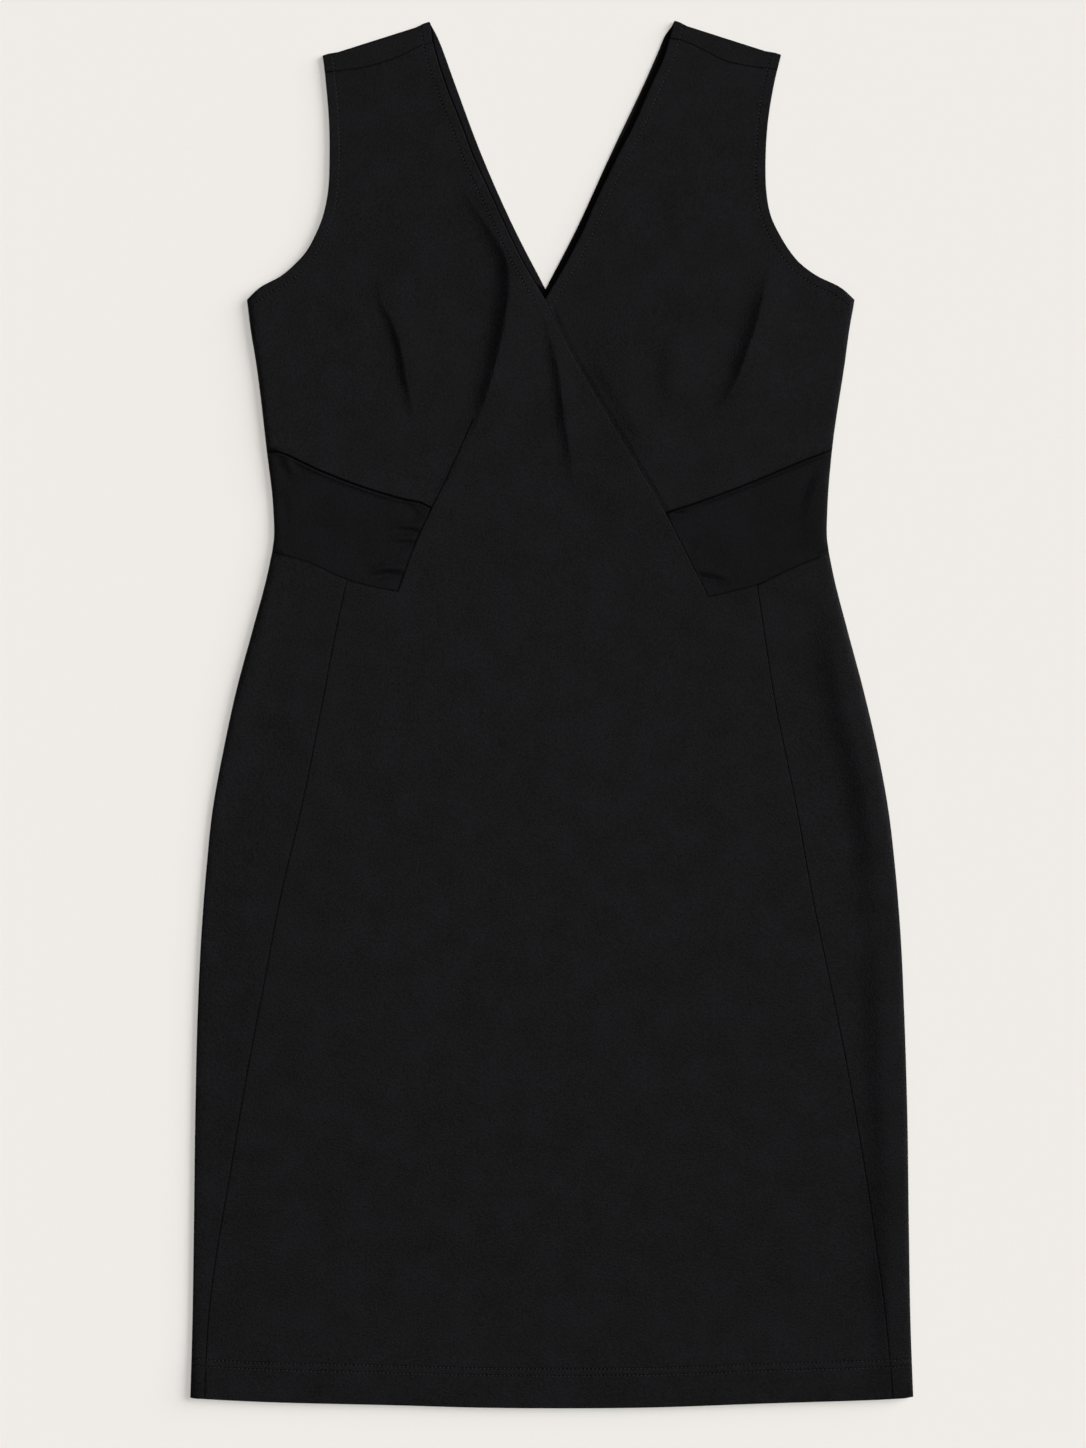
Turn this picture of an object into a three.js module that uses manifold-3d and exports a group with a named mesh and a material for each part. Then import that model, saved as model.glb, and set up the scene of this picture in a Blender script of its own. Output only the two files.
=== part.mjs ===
// A sleeveless sheath dress in firm black knit, laid flat on its back with the front up.
// Millimetres. +X is the wearer's left, +Y points from the hem to the neck, +Z is up from the surface.
// The origin is on the surface, under the middle of the dress.
// Places on the dress are given as a maker measures them: across from the centre line, with the wearer's left
// positive, and down from the highest point of the shoulder.
import * as THREE from 'three';
import { mergeVertices } from 'three/addons/utils/BufferGeometryUtils.js';
import Module from 'manifold-3d';

const wasm = await Module();
wasm.setup();

// Driving dimensions
const LENGTH = 1000; // highest shoulder point to the lowest point of the hem
const CLOTH = 1.1; // thickness of the knit
const GAP = 0.3; // between two pieces along a seam
const LAP_GAP = 0.6; // between the wrap and the bodice under it
const TUCK_UNDER = 12; // how far the under bodice reaches in beneath the wrap edge
const HEM_DEPTH = 27; // turned hem, where the cloth is double
const ROLL_WIDTH = 5; // the side folds roll over within this width
const SIDE_SEAM_HEIGHT = 2.4; // of the back's side edge above the surface

// Heights of the front's upper surface
const STRAP_HEIGHT = 2 * CLOTH + 0.8;
const BODY_HEIGHT = 3.9;
const ROLL_HEIGHT = 5.3; // along the side folds
const HEM_HEIGHT = 4 * CLOTH + GAP + 0.2;
const LOWEST = 2 * CLOTH + GAP; // where the front lies on the back
const ROLL_FADE = 34; // how far in from a side fold its height is felt
const STRAPS_END = 60; // down from the shoulder, where the straps start to swell into the bodice
const BODICE_START = 205;
const HEM_SWELL = 70; // the hem's thickness lifts the skirt this far above it
const INSET_DROP = 0.45; // the waist insets lie lower than the pieces round them
const LAP_SPARE = 6; // the wrap keeps its full lift this far past what it covers
const LAP_SPREAD = 46; // and comes down to the back again at this distance
const UNDERARM = 201; // down from the shoulder to the underarm, where the side folds start

// How finely the cloth is sampled
const ROLL_STEPS = 3; // across a rolled side
const BODICE_STEP = 15; // between sections of the bodice
const SKIRT_STEP = 32;
const BODICE_END = 420;
const FRONT_COLUMNS = 25;
const BACK_COLUMNS = 2;
const UNDER_COLUMNS = 14;
const INSET_COLUMNS = 8;
const SHOULDER_STEPS = 6; // round the shoulder fold

const ABOVE = -10; // down to the first section, above the shoulder
const BELOW = 4; // from the hem's lowest point to the last section
const UNDER_START = -30; // across to the inner end of the under bodice's wall, before it is cut
const INSET_START = 300; // down to the first section of the insets' walls
const OUTSIDE = 320; // past every edge of the dress, where cutting blocks end
const BLOCK_HEIGHT = 40;
const EDGE_RAMP = 1; // the cloth doubles within this width at the hem's upper line
const HEM_INSET = 2; // and this far in from the rolled sides
const CURVE_STEPS = 4; // between two rows of an edge or a seam
const PRINCESS_ROW = 2; // the row of both lower inset seams at which the princess seam starts
const INSET_INNER_END = 76; // the insets' walls reach in this far before they are cut
const NECK_MIDDLE = 20; // inside both neck edges at the shoulder
const RETURN_REACH = 40; // from the shoulder fold down the front, before the seam cuts it
const RETURN_LAP = 3; // the return's lower leg inside the back
const RETURN_SPARE = 14; // past both ends of the shoulder fold, before the edges are cut

// The bust, where the front stands fullest
const BUST = { across: 98, down: 232, rise: 1.2, width: 62, length: 66 };

// Side folds: half widths on the wearer's right and left
const SIDE = [
  { down: 201, right: 219.6, left: 218.6 },
  { down: 222, right: 217.0, left: 214.9 },
  { down: 244, right: 213.4, left: 211.9 },
  { down: 309, right: 205.4, left: 202.4 },
  { down: 352, right: 200.6, left: 199.0 },
  { down: 374, right: 200.2, left: 198.8 },
  { down: 396, right: 204.2, left: 202.6 },
  { down: 439, right: 215.5, left: 213.4 },
  { down: 482, right: 227.1, left: 224.9 },
  { down: 525, right: 236.4, left: 234.9 },
  { down: 569, right: 244.4, left: 243.0 },
  { down: 612, right: 248.9, left: 248.0 },
  { down: 656, right: 252.3, left: 251.6 },
  { down: 720, right: 255.3, left: 254.6 },
  { down: 786, right: 256.8, left: 256.6 },
  { down: 872, right: 257.9, left: 257.8 },
  { down: 937, right: 258.9, left: 258.9 },
  { down: 1005, right: 260.8, left: 261.4 },
];

// Armhole edges, from the shoulder fold to the underarm
const ARMHOLE = [
  { down: 25, right: 164.8, left: 165.3 },
  { down: 45, right: 162.6, left: 160.6 },
  { down: 71, right: 160.5, left: 156.3 },
  { down: 97, right: 160.0, left: 154.5 },
  { down: 122, right: 161.0, left: 154.9 },
  { down: 140, right: 164.6, left: 158.0 },
  { down: 153, right: 169.6, left: 163.9 },
  { down: 166, right: 176.6, left: 171.8 },
  { down: 175, right: 184.5, left: 179.4 },
  { down: 184, right: 195.0, left: 191.6 },
  { down: 192, right: 209.6, left: 207.8 },
  { down: 201, right: 219.6, left: 218.6 },
];

// Front neck edges: the wrap's on the right, and the under bodice's on the left, which ends beneath the wrap
const FRONT_NECK = [
  { down: 2, right: 87.2, left: 87.8 },
  { down: 16, right: 85.6, left: 84.4 },
  { down: 28, right: 82.4, left: 80.4 },
  { down: 47, right: 76.2, left: 71.6 },
  { down: 76, right: 64.8, left: 58.9 },
  { down: 97, right: 57.0, left: 48.0 },
  { down: 131, right: 41.3, left: 31.6 },
  { down: 150, right: 32.7, left: 23.4 },
  { down: 176, right: 19.8, left: 10.1 },
  { down: 201, right: 4.8, left: -4.6 },
];

// Back neck edges, down to the back V
const BACK_NECK = [
  { down: 2, right: 87.2, left: 87.8 },
  { down: 10, right: 82.8, left: 82.0 },
  { down: 19, right: 79.0, left: 78.2 },
  { down: 45, right: 69.6, left: 66.8 },
  { down: 97, right: 50.1, left: 42.2 },
  { down: 149, right: 27.0, left: 18.4 },
  { down: 193, right: 4.3, left: -4.3 },
];

// Shoulder folds, straight from neck to armhole, and the shoulder seams forward of them
const SHOULDER_FOLD = [
  { across: 87.5, right: 1.0, left: 0 },
  { across: 165, right: 25.6, left: 24.8 },
];
const SHOULDER_SEAM = [
  { across: 86, right: 15.6, left: 12.6 },
  { across: 95, right: 18.0, left: 14.4 },
  { across: 108, right: 24.6, left: 20.2 },
  { across: 125, right: 30.8, left: 28.6 },
  { across: 141, right: 34.4, left: 32.3 },
  { across: 163, right: 37.0, left: 35.2 },
];

// Free edge of the wrap from the V to the left inset, then its seam along that inset
const WRAP_EDGE = [
  { across: -4.8, down: 201 },
  { across: 10.1, down: 232 },
  { across: 29.2, down: 266 },
  { across: 53.4, down: 306.7 },
  { across: 81.9, down: 354.5 },
];
const LEFT_INSET_INNER = [
  { across: 81.9, down: 354.5 },
  { across: 93.9, down: 377.6 },
  { across: 104.1, down: 397.8 },
  { across: 113.3, down: 415.4 },
];
const RIGHT_INSET_INNER = [
  { across: -86.3, down: 350.9 },
  { across: -99.5, down: 380.2 },
  { across: -110.6, down: 411.2 },
];

// Upper and lower seams of the waist insets, from the side inwards
const RIGHT_INSET_TOP = [
  { across: -212, down: 311 },
  { across: -199, down: 310 },
  { across: -166, down: 324.2 },
  { across: -138, down: 335 },
  { across: -107, down: 344.4 },
  { across: -90.4, down: 347.9 },
  { across: -86.3, down: 350.9 },
];
const LEFT_INSET_TOP = [
  { across: 212, down: 305 },
  { across: 179.4, down: 317.7 },
  { across: 137.5, down: 335 },
  { across: 107.2, down: 346.2 },
  { across: 81.9, down: 354.5 },
];
const RIGHT_INSET_BOTTOM = [
  { across: -212, down: 381 },
  { across: -176.8, down: 389.9 },
  { across: -147.6, down: 402.9 },
  { across: -121.7, down: 409.4 },
  { across: -110.6, down: 411.2 },
];
const LEFT_INSET_BOTTOM = [
  { across: 212, down: 379.5 },
  { across: 170.8, down: 395.7 },
  { across: 148, down: 406.8 },
  { across: 136.1, down: 409.8 },
  { across: 113.3, down: 415.4 },
];

// Princess seams of the skirt, from the inset to the hem
const PRINCESS = [
  { down: 437, right: 154.9, left: 152.6 },
  { down: 490, right: 165.0, left: 160.8 },
  { down: 560, right: 178.8, left: 175.1 },
  { down: 634, right: 196.0, left: 188.5 },
  { down: 692, right: 206.9, left: 200.5 },
  { down: 752, right: 218.4, left: 212.6 },
  { down: 833, right: 232.1, left: 226.6 },
  { down: 884, right: 240.8, left: 233.9 },
  { down: 934, right: 247.3, left: 240.5 },
  { down: 1006, right: 250.4, left: 247.0 },
];

// The hem's lower edge
const HEM = [
  { across: -266, down: 992.6 },
  { across: -204, down: 995.6 },
  { across: -114, down: 997.8 },
  { across: -42, down: 999.7 },
  { across: 64, down: 999.6 },
  { across: 150, down: 996.7 },
  { across: 246, down: 993.4 },
  { across: 266, down: 991.8 },
];

// The sewn dart above the right inset: a fine slit up to its point
const DART = [
  { across: -56.7, down: 287.4 },
  { across: -73, down: 323.9 },
  { across: -86.3, down: 350.9 },
];

// Soft troughs of the laid cloth: each fades out at both ends of its path, whose places are across and down
const FOLDS = [
  {
    name: 'dart fold',
    depth: 1.5,
    width: 17,
    path: [[-34, 165], [-33, 200], [-38, 236], [-47, 266], [-58, 290], [-78, 334]],
  },
  { name: 'neck fold', depth: 0.5, width: 16, path: [[-78, 80], [-64, 112], [-46, 152]] },
  { name: 'right bust fold', depth: 1.3, width: 14, path: [[-125, 205], [-109, 243], [-101, 300]] },
  { name: 'centre fold', depth: 0.9, width: 15, path: [[-6, 222], [5, 262], [8, 306], [15, 336]] },
  { name: 'left bust fold', depth: 1.3, width: 15, path: [[154, 180], [146, 214], [137, 238], [119, 292]] },
  { name: 'left inner fold', depth: 0.7, width: 13, path: [[80, 230], [85, 266], [94, 294]] },
  {
    name: 'left hip fold',
    depth: 1.1,
    width: 22,
    path: [[178, 430], [208, 505], [222, 562], [230, 640], [236, 820]],
  },
];

const HALF = LENGTH / 2;
const SIDES = { right: -1, left: 1 };

function place(across, down) {
  return new THREE.Vector2(across, HALF - down);
}

// A smooth line through a few places
function smooth(places) {
  const points = places.map((p) => new THREE.Vector3(p.x, p.y, 0));
  const curve = new THREE.CatmullRomCurve3(points, false, 'centripetal');
  return curve.getPoints(CURVE_STEPS * (places.length - 1)).map((p) => new THREE.Vector2(p.x, p.y));
}

function seam(rows) {
  return smooth(rows.map((row) => place(row.across, row.down)));
}

// A line that runs down one side of the dress, from a table with a column for each side
function sideLine(rows, side) {
  return smooth(rows.map((row) => place(SIDES[side] * row[side], row.down)));
}

function crossLine(rows, side) {
  return smooth(rows.map((row) => place(SIDES[side] * row.across, row[side])));
}

// The same line moved sideways, to the left of its direction of travel where the distance is positive
function beside(line, distance) {
  return line.map((point, i) => {
    const before = line[Math.max(i - 1, 0)];
    const after = line[Math.min(i + 1, line.length - 1)];
    const along = after.clone().sub(before).normalize();
    return new THREE.Vector2(point.x - along.y * distance, point.y + along.x * distance);
  });
}

function backwards(line) {
  return [...line].reverse();
}

// A closed outline drawn in by a distance all round, so that neighbours stay apart at their seams
function shrink(outline, distance) {
  const apart = outline.filter((point, i) => point.distanceTo(outline[(i + 1) % outline.length]) > 1e-3);
  const loop = THREE.ShapeUtils.isClockWise(apart) ? backwards(apart) : apart;
  return loop.map((point, i) => {
    const before = point.clone().sub(loop[(i + loop.length - 1) % loop.length]).normalize();
    const after = loop[(i + 1) % loop.length].clone().sub(point).normalize();
    const inward = new THREE.Vector2(-before.y - after.y, before.x + after.x).normalize();
    const reach = distance / Math.max(0.35, inward.x * -before.y + inward.y * before.x);
    return point.clone().addScaledVector(inward, reach);
  });
}

// Half width to a side fold at a distance down, by smooth interpolation in the table
function halfWidth(side, down) {
  const last = SIDE.length - 1;
  if (down <= SIDE[0].down) return SIDE[0][side];
  if (down >= SIDE[last].down) return SIDE[last][side];
  const i = SIDE.findIndex((row) => row.down > down) - 1;
  const at = (k) => SIDE[THREE.MathUtils.clamp(k, 0, last)];
  const slope = (k) => (at(k + 1)[side] - at(k - 1)[side]) / (at(k + 1).down - at(k - 1).down);
  const span = at(i + 1).down - at(i).down;
  const t = (down - at(i).down) / span;
  const ease = t * t * (3 - 2 * t);
  const bend = span * t * (1 - t) * ((1 - t) * slope(i) - t * slope(i + 1));
  return at(i)[side] * (1 - ease) + at(i + 1)[side] * ease + bend;
}

function rampUp(value, from, to) {
  return THREE.MathUtils.smoothstep(value, from, to);
}

// How near a point is to a line: its distance, and how far along the line its nearest place is, from 0 to 1
function nearest(line, x, y) {
  let best = { distance: Infinity, along: 0 };
  for (let i = 0; i < line.length - 1; i++) {
    const start = line[i];
    const reach = line[i + 1].clone().sub(start);
    const t = ((x - start.x) * reach.x + (y - start.y) * reach.y) / reach.lengthSq();
    const within = THREE.MathUtils.clamp(t, 0, 1);
    const distance = Math.hypot(x - start.x - within * reach.x, y - start.y - within * reach.y);
    if (distance < best.distance) best = { distance, along: (i + within) / (line.length - 1) };
  }
  return best;
}

const foldLines = FOLDS.map((fold) => ({
  ...fold,
  line: smooth(fold.path.map(([x, down]) => place(x, down))),
}));
const wrapEdge = seam(WRAP_EDGE);
const wrapWhole = [...wrapEdge, ...seam(LEFT_INSET_INNER).slice(1)];

function troughs(x, y) {
  let depth = 0;
  for (const fold of foldLines) {
    const { distance, along } = nearest(fold.line, x, y);
    const fade = rampUp(along, 0, 0.3) * rampUp(1 - along, 0, 0.25);
    depth += fold.depth * fade * Math.exp(-((distance / fold.width) ** 2));
  }
  return depth;
}

// Height of the front's upper surface, away from the rolled sides
function frontHeight(x, y) {
  const down = HALF - y;
  const side = x < 0 ? 'right' : 'left';
  const fromFold = halfWidth(side, down) - ROLL_WIDTH - Math.abs(x);
  const inBody = rampUp(down, STRAPS_END, BODICE_START);
  const body = BODY_HEIGHT + (ROLL_HEIGHT - BODY_HEIGHT) * Math.exp(-Math.max(fromFold, 0) / ROLL_FADE);
  const reach = ((Math.abs(x) - BUST.across) / BUST.width) ** 2 + ((down - BUST.down) / BUST.length) ** 2;
  const bust = BUST.rise * Math.exp(-reach);
  const level = THREE.MathUtils.lerp(STRAP_HEIGHT, body, inBody) + bust - troughs(x, y);
  const nearHem = rampUp(down, LENGTH - HEM_DEPTH - HEM_SWELL, LENGTH - HEM_DEPTH);
  return Math.max(THREE.MathUtils.lerp(level, HEM_HEIGHT, nearHem), LOWEST);
}

// The wrap lies over the under bodice along its free edge, and comes down to the back again further in
function wrapLift(x, y) {
  const { distance } = nearest(wrapWhole, x, y);
  const down = HALF - y;
  const lastLap = WRAP_EDGE[WRAP_EDGE.length - 1].down;
  const alongSeam = 1 - rampUp(down, lastLap + LAP_SPARE, lastLap + LAP_SPREAD);
  const acrossCloth = 1 - rampUp(distance, TUCK_UNDER + LAP_SPARE, TUCK_UNDER + LAP_SPREAD);
  return (CLOTH + LAP_GAP) * acrossCloth * alongSeam;
}

function wrapHeight(x, y) {
  return frontHeight(x, y) + wrapLift(x, y);
}

function insetHeight(x, y) {
  return frontHeight(x, y) - INSET_DROP;
}

// Thickness of the cloth, which is double in the turned hem
function clothAt(down) {
  return CLOTH * (1 + rampUp(down, LENGTH - HEM_DEPTH - EDGE_RAMP, LENGTH - HEM_DEPTH));
}

// Pairs of points on the upper and the lower face of the cloth, where it lies flat
const onFront = (height) => (x, y, thick) => {
  const z = height(x, y);
  return { upper: [x, y, z], lower: [x, y, z - thick] };
};
const onBack = (x, y, thick) => ({ upper: [x, y, thick], lower: [x, y, 0] });

// A place on a quarter turn of cloth at the side: width out from the turn's centre, and height
function sidePlace(side, y, width, z) {
  return [SIDES[side] * (halfWidth(side, HALF - y) - ROLL_WIDTH + width), y, z];
}

// Pairs on the front's rolled side, where the angle runs from the side seam up to the top of the roll
const frontRoll = (height) => (side, angle, y) => {
  const base = SIDE_SEAM_HEIGHT + GAP;
  const top = height(sidePlace(side, y, 0, 0)[0], y);
  const point = (inward) => {
    const rise = (top - base - inward) * Math.sin(angle);
    return sidePlace(side, y, (ROLL_WIDTH - inward) * Math.cos(angle), base + rise);
  };
  return { upper: point(0), lower: point(CLOTH) };
};

// The same on the back, which curls up from the surface to the side seam
function backRoll(side, angle, y) {
  const point = (inward) => {
    const fall = (SIDE_SEAM_HEIGHT - inward) * Math.sin(angle);
    return sidePlace(side, y, (ROLL_WIDTH - inward) * Math.cos(angle), SIDE_SEAM_HEIGHT - fall);
  };
  return { upper: point(CLOTH), lower: point(0) };
}

// One section across the dress. An end that isn't given is a rolled side, which lies flat above the underarm
function section(down, { from, to, columns, flat, roll }) {
  const y = HALF - down;
  const sidePairs = (side) => [...Array(ROLL_STEPS).keys()].map((step) => {
    const pair = roll(side, (step / ROLL_STEPS) * (Math.PI / 2), y);
    return down < UNDERARM ? flat(pair.upper[0], y, CLOTH) : pair;
  });
  const start = from ?? sidePlace('right', y, 0, 0)[0];
  const end = to ?? sidePlace('left', y, 0, 0)[0];
  const inside = [...Array(columns + 1).keys()].map((column) => {
    const x = THREE.MathUtils.lerp(start + HEM_INSET, end - HEM_INSET, column / columns);
    return flat(x, y, clothAt(down));
  });
  const middle = [flat(start, y, CLOTH), ...inside, flat(end, y, CLOTH)];
  const right = from === undefined ? sidePairs('right') : [];
  const left = to === undefined ? sidePairs('left').reverse() : [];
  return [...right, ...middle, ...left];
}

// A closed wall of cloth through its sections, which run from the neck to the hem
function wall(downs, spec) {
  const sections = downs.map((down) => section(down, spec));
  const rows = sections.length;
  const columns = sections[0].length;
  const positions = ['upper', 'lower'].flatMap((face) => sections.flat().flatMap((pair) => pair[face]));
  const upper = (row, column) => row * columns + column;
  const lower = (row, column) => (rows + row) * columns + column;
  const index = [];
  const quad = (a, b, c, d) => index.push(a, b, c, a, c, d);
  for (let row = 0; row < rows - 1; row++) {
    for (let column = 0; column < columns - 1; column++) {
      quad(upper(row, column), upper(row + 1, column), upper(row + 1, column + 1), upper(row, column + 1));
      quad(lower(row, column), lower(row, column + 1), lower(row + 1, column + 1), lower(row + 1, column));
    }
    const end = columns - 1;
    quad(upper(row + 1, 0), upper(row, 0), lower(row, 0), lower(row + 1, 0));
    quad(upper(row, end), upper(row + 1, end), lower(row + 1, end), lower(row, end));
  }
  for (let column = 0; column < columns - 1; column++) {
    const end = rows - 1;
    quad(upper(0, column), upper(0, column + 1), lower(0, column + 1), lower(0, column));
    quad(upper(end, column + 1), upper(end, column), lower(end, column), lower(end, column + 1));
  }
  const geometry = new THREE.BufferGeometry();
  geometry.setAttribute('position', new THREE.Float32BufferAttribute(positions, 3));
  geometry.setIndex(index);
  return solid(geometry);
}

function solid(geometry) {
  const bare = geometry.clone();
  bare.deleteAttribute('normal');
  bare.deleteAttribute('uv');
  const merged = mergeVertices(bare, 1e-4);
  const vertProperties = new Float32Array(merged.getAttribute('position').array);
  const triVerts = new Uint32Array(merged.getIndex().array);
  return new wasm.Manifold(new wasm.Mesh({ numProp: 3, vertProperties, triVerts }));
}

// A tall block over a closed outline, to cut cloth along it
function block(outline) {
  const options = { depth: BLOCK_HEIGHT, bevelEnabled: false };
  const geometry = new THREE.ExtrudeGeometry(new THREE.Shape(outline), options);
  geometry.translate(0, 0, -BLOCK_HEIGHT / 2);
  return solid(geometry);
}

// Distances down at which sections are taken
function spread(start, end, step) {
  const count = Math.max(1, Math.round((end - start) / step));
  return [...Array(count + 1).keys()].map((i) => THREE.MathUtils.lerp(start, end, i / count));
}

const hemTop = LENGTH - HEM_DEPTH;
const hemDowns = [
  ...spread(BODICE_END + SKIRT_STEP, hemTop - EDGE_RAMP, SKIRT_STEP),
  ...spread(hemTop, LENGTH + BELOW, HEM_DEPTH),
];
const frontDowns = [
  ...spread(ABOVE, UNDERARM - BODICE_STEP, BODICE_STEP),
  UNDERARM - 1,
  ...spread(UNDERARM, BODICE_END, BODICE_STEP),
  ...hemDowns,
];
const backDowns = [ABOVE, UNDERARM - 1, ...spread(UNDERARM, BODICE_END, SKIRT_STEP), ...hemDowns];

// What the edges take away: the back and the front share the shape of the armhole
function armholeNotch(side) {
  const edge = sideLine(ARMHOLE, side);
  const out = SIDES[side] * OUTSIDE;
  const top = HALF + OUTSIDE;
  return block([
    new THREE.Vector2(edge[0].x, top),
    ...edge,
    new THREE.Vector2(out, edge[edge.length - 1].y),
    new THREE.Vector2(out, top),
  ]);
}

function neckNotch(rows) {
  const right = sideLine(rows, 'right');
  const left = sideLine(rows, 'left');
  const top = HALF + OUTSIDE;
  return block([
    new THREE.Vector2(right[0].x, top),
    ...right,
    ...backwards(left),
    new THREE.Vector2(left[0].x, top),
  ]);
}

// Everything on one side of a line across the strap, towards the neck or towards the hem, for cutting there
function beyond(line, side, towards, moved) {
  const shifted = line.map((point) => new THREE.Vector2(point.x, point.y + towards * moved));
  const end = towards > 0 ? HALF + OUTSIDE : 0;
  const near = new THREE.Vector2(SIDES[side] * NECK_MIDDLE, shifted[0].y);
  const far = new THREE.Vector2(SIDES[side] * OUTSIDE, shifted[shifted.length - 1].y);
  return block([near, ...shifted, far, new THREE.Vector2(far.x, end), new THREE.Vector2(near.x, end)]);
}

const TO_NECK = 1;
const TO_HEM = -1;
const armholes = { right: armholeNotch('right'), left: armholeNotch('left') };
const shoulderSeams = { right: crossLine(SHOULDER_SEAM, 'right'), left: crossLine(SHOULDER_SEAM, 'left') };
const hemNotch = block([
  ...seam(HEM),
  place(OUTSIDE, LENGTH + OUTSIDE),
  place(-OUTSIDE, LENGTH + OUTSIDE),
]);

// Seam lines of the front: they run down the dress, or in from the side
const insetTop = { right: seam(RIGHT_INSET_TOP), left: seam(LEFT_INSET_TOP) };
const insetInner = { right: seam(RIGHT_INSET_INNER), left: seam(LEFT_INSET_INNER) };
const insetBottom = { right: seam(RIGHT_INSET_BOTTOM), left: seam(LEFT_INSET_BOTTOM) };
const bottomOuter = {};
const bottomInner = {};
const princess = {};
for (const side of ['right', 'left']) {
  bottomOuter[side] = insetBottom[side].slice(0, PRINCESS_ROW * CURVE_STEPS + 1);
  bottomInner[side] = insetBottom[side].slice(PRINCESS_ROW * CURVE_STEPS);
  const rows = PRINCESS.map((row) => place(SIDES[side] * row[side], row.down));
  princess[side] = smooth([bottomInner[side][0], ...rows]);
}

function outer(side, down) {
  return place(SIDES[side] * OUTSIDE, down);
}

// A piece of the front is cut from its wall along its seams
function cut(cloth, outline, ...notches) {
  const piece = cloth.intersect(block(shrink(outline, GAP / 2)));
  return notches.reduce((rest, notch) => rest.subtract(notch), piece);
}

function shoulderCuts(side) {
  return [armholes[side], beyond(shoulderSeams[side], side, TO_NECK, -GAP / 2)];
}

function wrapFront(cloth) {
  const outline = [
    new THREE.Vector2(-FRONT_NECK[0].right, HALF + OUTSIDE),
    ...sideLine(FRONT_NECK, 'right'),
    ...wrapWhole,
    ...backwards(bottomInner.left),
    ...princess.left,
    ...backwards(princess.right),
    ...bottomInner.right,
    ...backwards(insetInner.right),
    ...backwards(insetTop.right),
    outer('right', RIGHT_INSET_TOP[0].down),
    new THREE.Vector2(-OUTSIDE, HALF + OUTSIDE),
  ];
  const dart = seam(DART);
  const slit = block([...beside(dart, GAP / 2), ...backwards(beside(dart, -GAP / 2))]);
  return cut(cloth, outline, ...shoulderCuts('right'), hemNotch, slit);
}

function underBodice() {
  const bottom = WRAP_EDGE[WRAP_EDGE.length - 1].down + TUCK_UNDER;
  const cloth = wall(spread(ABOVE, bottom, BODICE_STEP), {
    from: UNDER_START,
    columns: UNDER_COLUMNS,
    flat: onFront(frontHeight),
    roll: frontRoll(frontHeight),
  });
  const outline = [
    new THREE.Vector2(FRONT_NECK[0].left, HALF + OUTSIDE),
    ...sideLine(FRONT_NECK, 'left'),
    ...beside(wrapEdge, -TUCK_UNDER),
    ...backwards(insetTop.left),
    outer('left', LEFT_INSET_TOP[0].down),
    new THREE.Vector2(OUTSIDE, HALF + OUTSIDE),
  ];
  return cut(cloth, outline, ...shoulderCuts('left'));
}

function sideFront(cloth, side) {
  const outline = [
    outer(side, HALF - bottomOuter[side][0].y),
    ...bottomOuter[side],
    ...princess[side],
    outer(side, LENGTH + OUTSIDE),
  ];
  return cut(cloth, outline, hemNotch);
}

function waistInset(side) {
  const ends = side === 'right' ? { to: -INSET_INNER_END } : { from: INSET_INNER_END };
  const cloth = wall(spread(INSET_START, BODICE_END, BODICE_STEP), {
    ...ends,
    columns: INSET_COLUMNS,
    flat: onFront(insetHeight),
    roll: frontRoll(insetHeight),
  });
  return cut(cloth, [...insetTop[side], ...insetInner[side], ...backwards(insetBottom[side])]);
}

// The back's cloth, carried over the shoulder fold and down to the forward seam
function shoulderReturn(side) {
  const [neck, arm] = SHOULDER_FOLD.map((row) => place(SIDES[side] * row.across, row[side]));
  const along = new THREE.Vector3(arm.x - neck.x, arm.y - neck.y, 0);
  const length = along.length() + 2 * RETURN_SPARE;
  along.normalize();
  const out = new THREE.Vector3(-along.y, along.x, 0).multiplyScalar(SIDES[side]);
  const run = new THREE.Vector3().crossVectors(out, new THREE.Vector3(0, 0, 1));
  const radius = STRAP_HEIGHT / 2;
  const profile = new THREE.Shape();
  profile.moveTo(-radius - RETURN_LAP, 0);
  profile.lineTo(-radius, 0);
  profile.absarc(-radius, radius, radius, -Math.PI / 2, Math.PI / 2, false);
  profile.lineTo(-RETURN_REACH, STRAP_HEIGHT);
  profile.lineTo(-RETURN_REACH, STRAP_HEIGHT - CLOTH);
  profile.lineTo(-radius, STRAP_HEIGHT - CLOTH);
  profile.absarc(-radius, radius, radius - CLOTH, Math.PI / 2, -Math.PI / 2, true);
  profile.lineTo(-radius - RETURN_LAP, CLOTH);
  const options = { depth: length, bevelEnabled: false, curveSegments: SHOULDER_STEPS };
  const geometry = new THREE.ExtrudeGeometry(profile, options);
  const middle = new THREE.Vector3((neck.x + arm.x) / 2, (neck.y + arm.y) / 2, 0);
  const origin = middle.addScaledVector(run, -length / 2);
  const frame = new THREE.Matrix4().makeBasis(out, new THREE.Vector3(0, 0, 1), run).setPosition(origin);
  geometry.applyMatrix4(frame);
  return solid(geometry)
    .subtract(armholes[side])
    .subtract(neckNotch(FRONT_NECK))
    .subtract(beyond(shoulderSeams[side], side, TO_HEM, -GAP / 2));
}

function backPanel() {
  let back = wall(backDowns, { columns: BACK_COLUMNS, flat: onBack, roll: backRoll })
    .subtract(neckNotch(BACK_NECK))
    .subtract(hemNotch);
  for (const side of ['right', 'left']) {
    const fold = SHOULDER_FOLD.map((row) => place(SIDES[side] * row.across, row[side]));
    back = back.subtract(armholes[side]).subtract(beyond(fold, side, TO_NECK, -STRAP_HEIGHT / 2));
    back = back.add(shoulderReturn(side));
  }
  return back;
}

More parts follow.
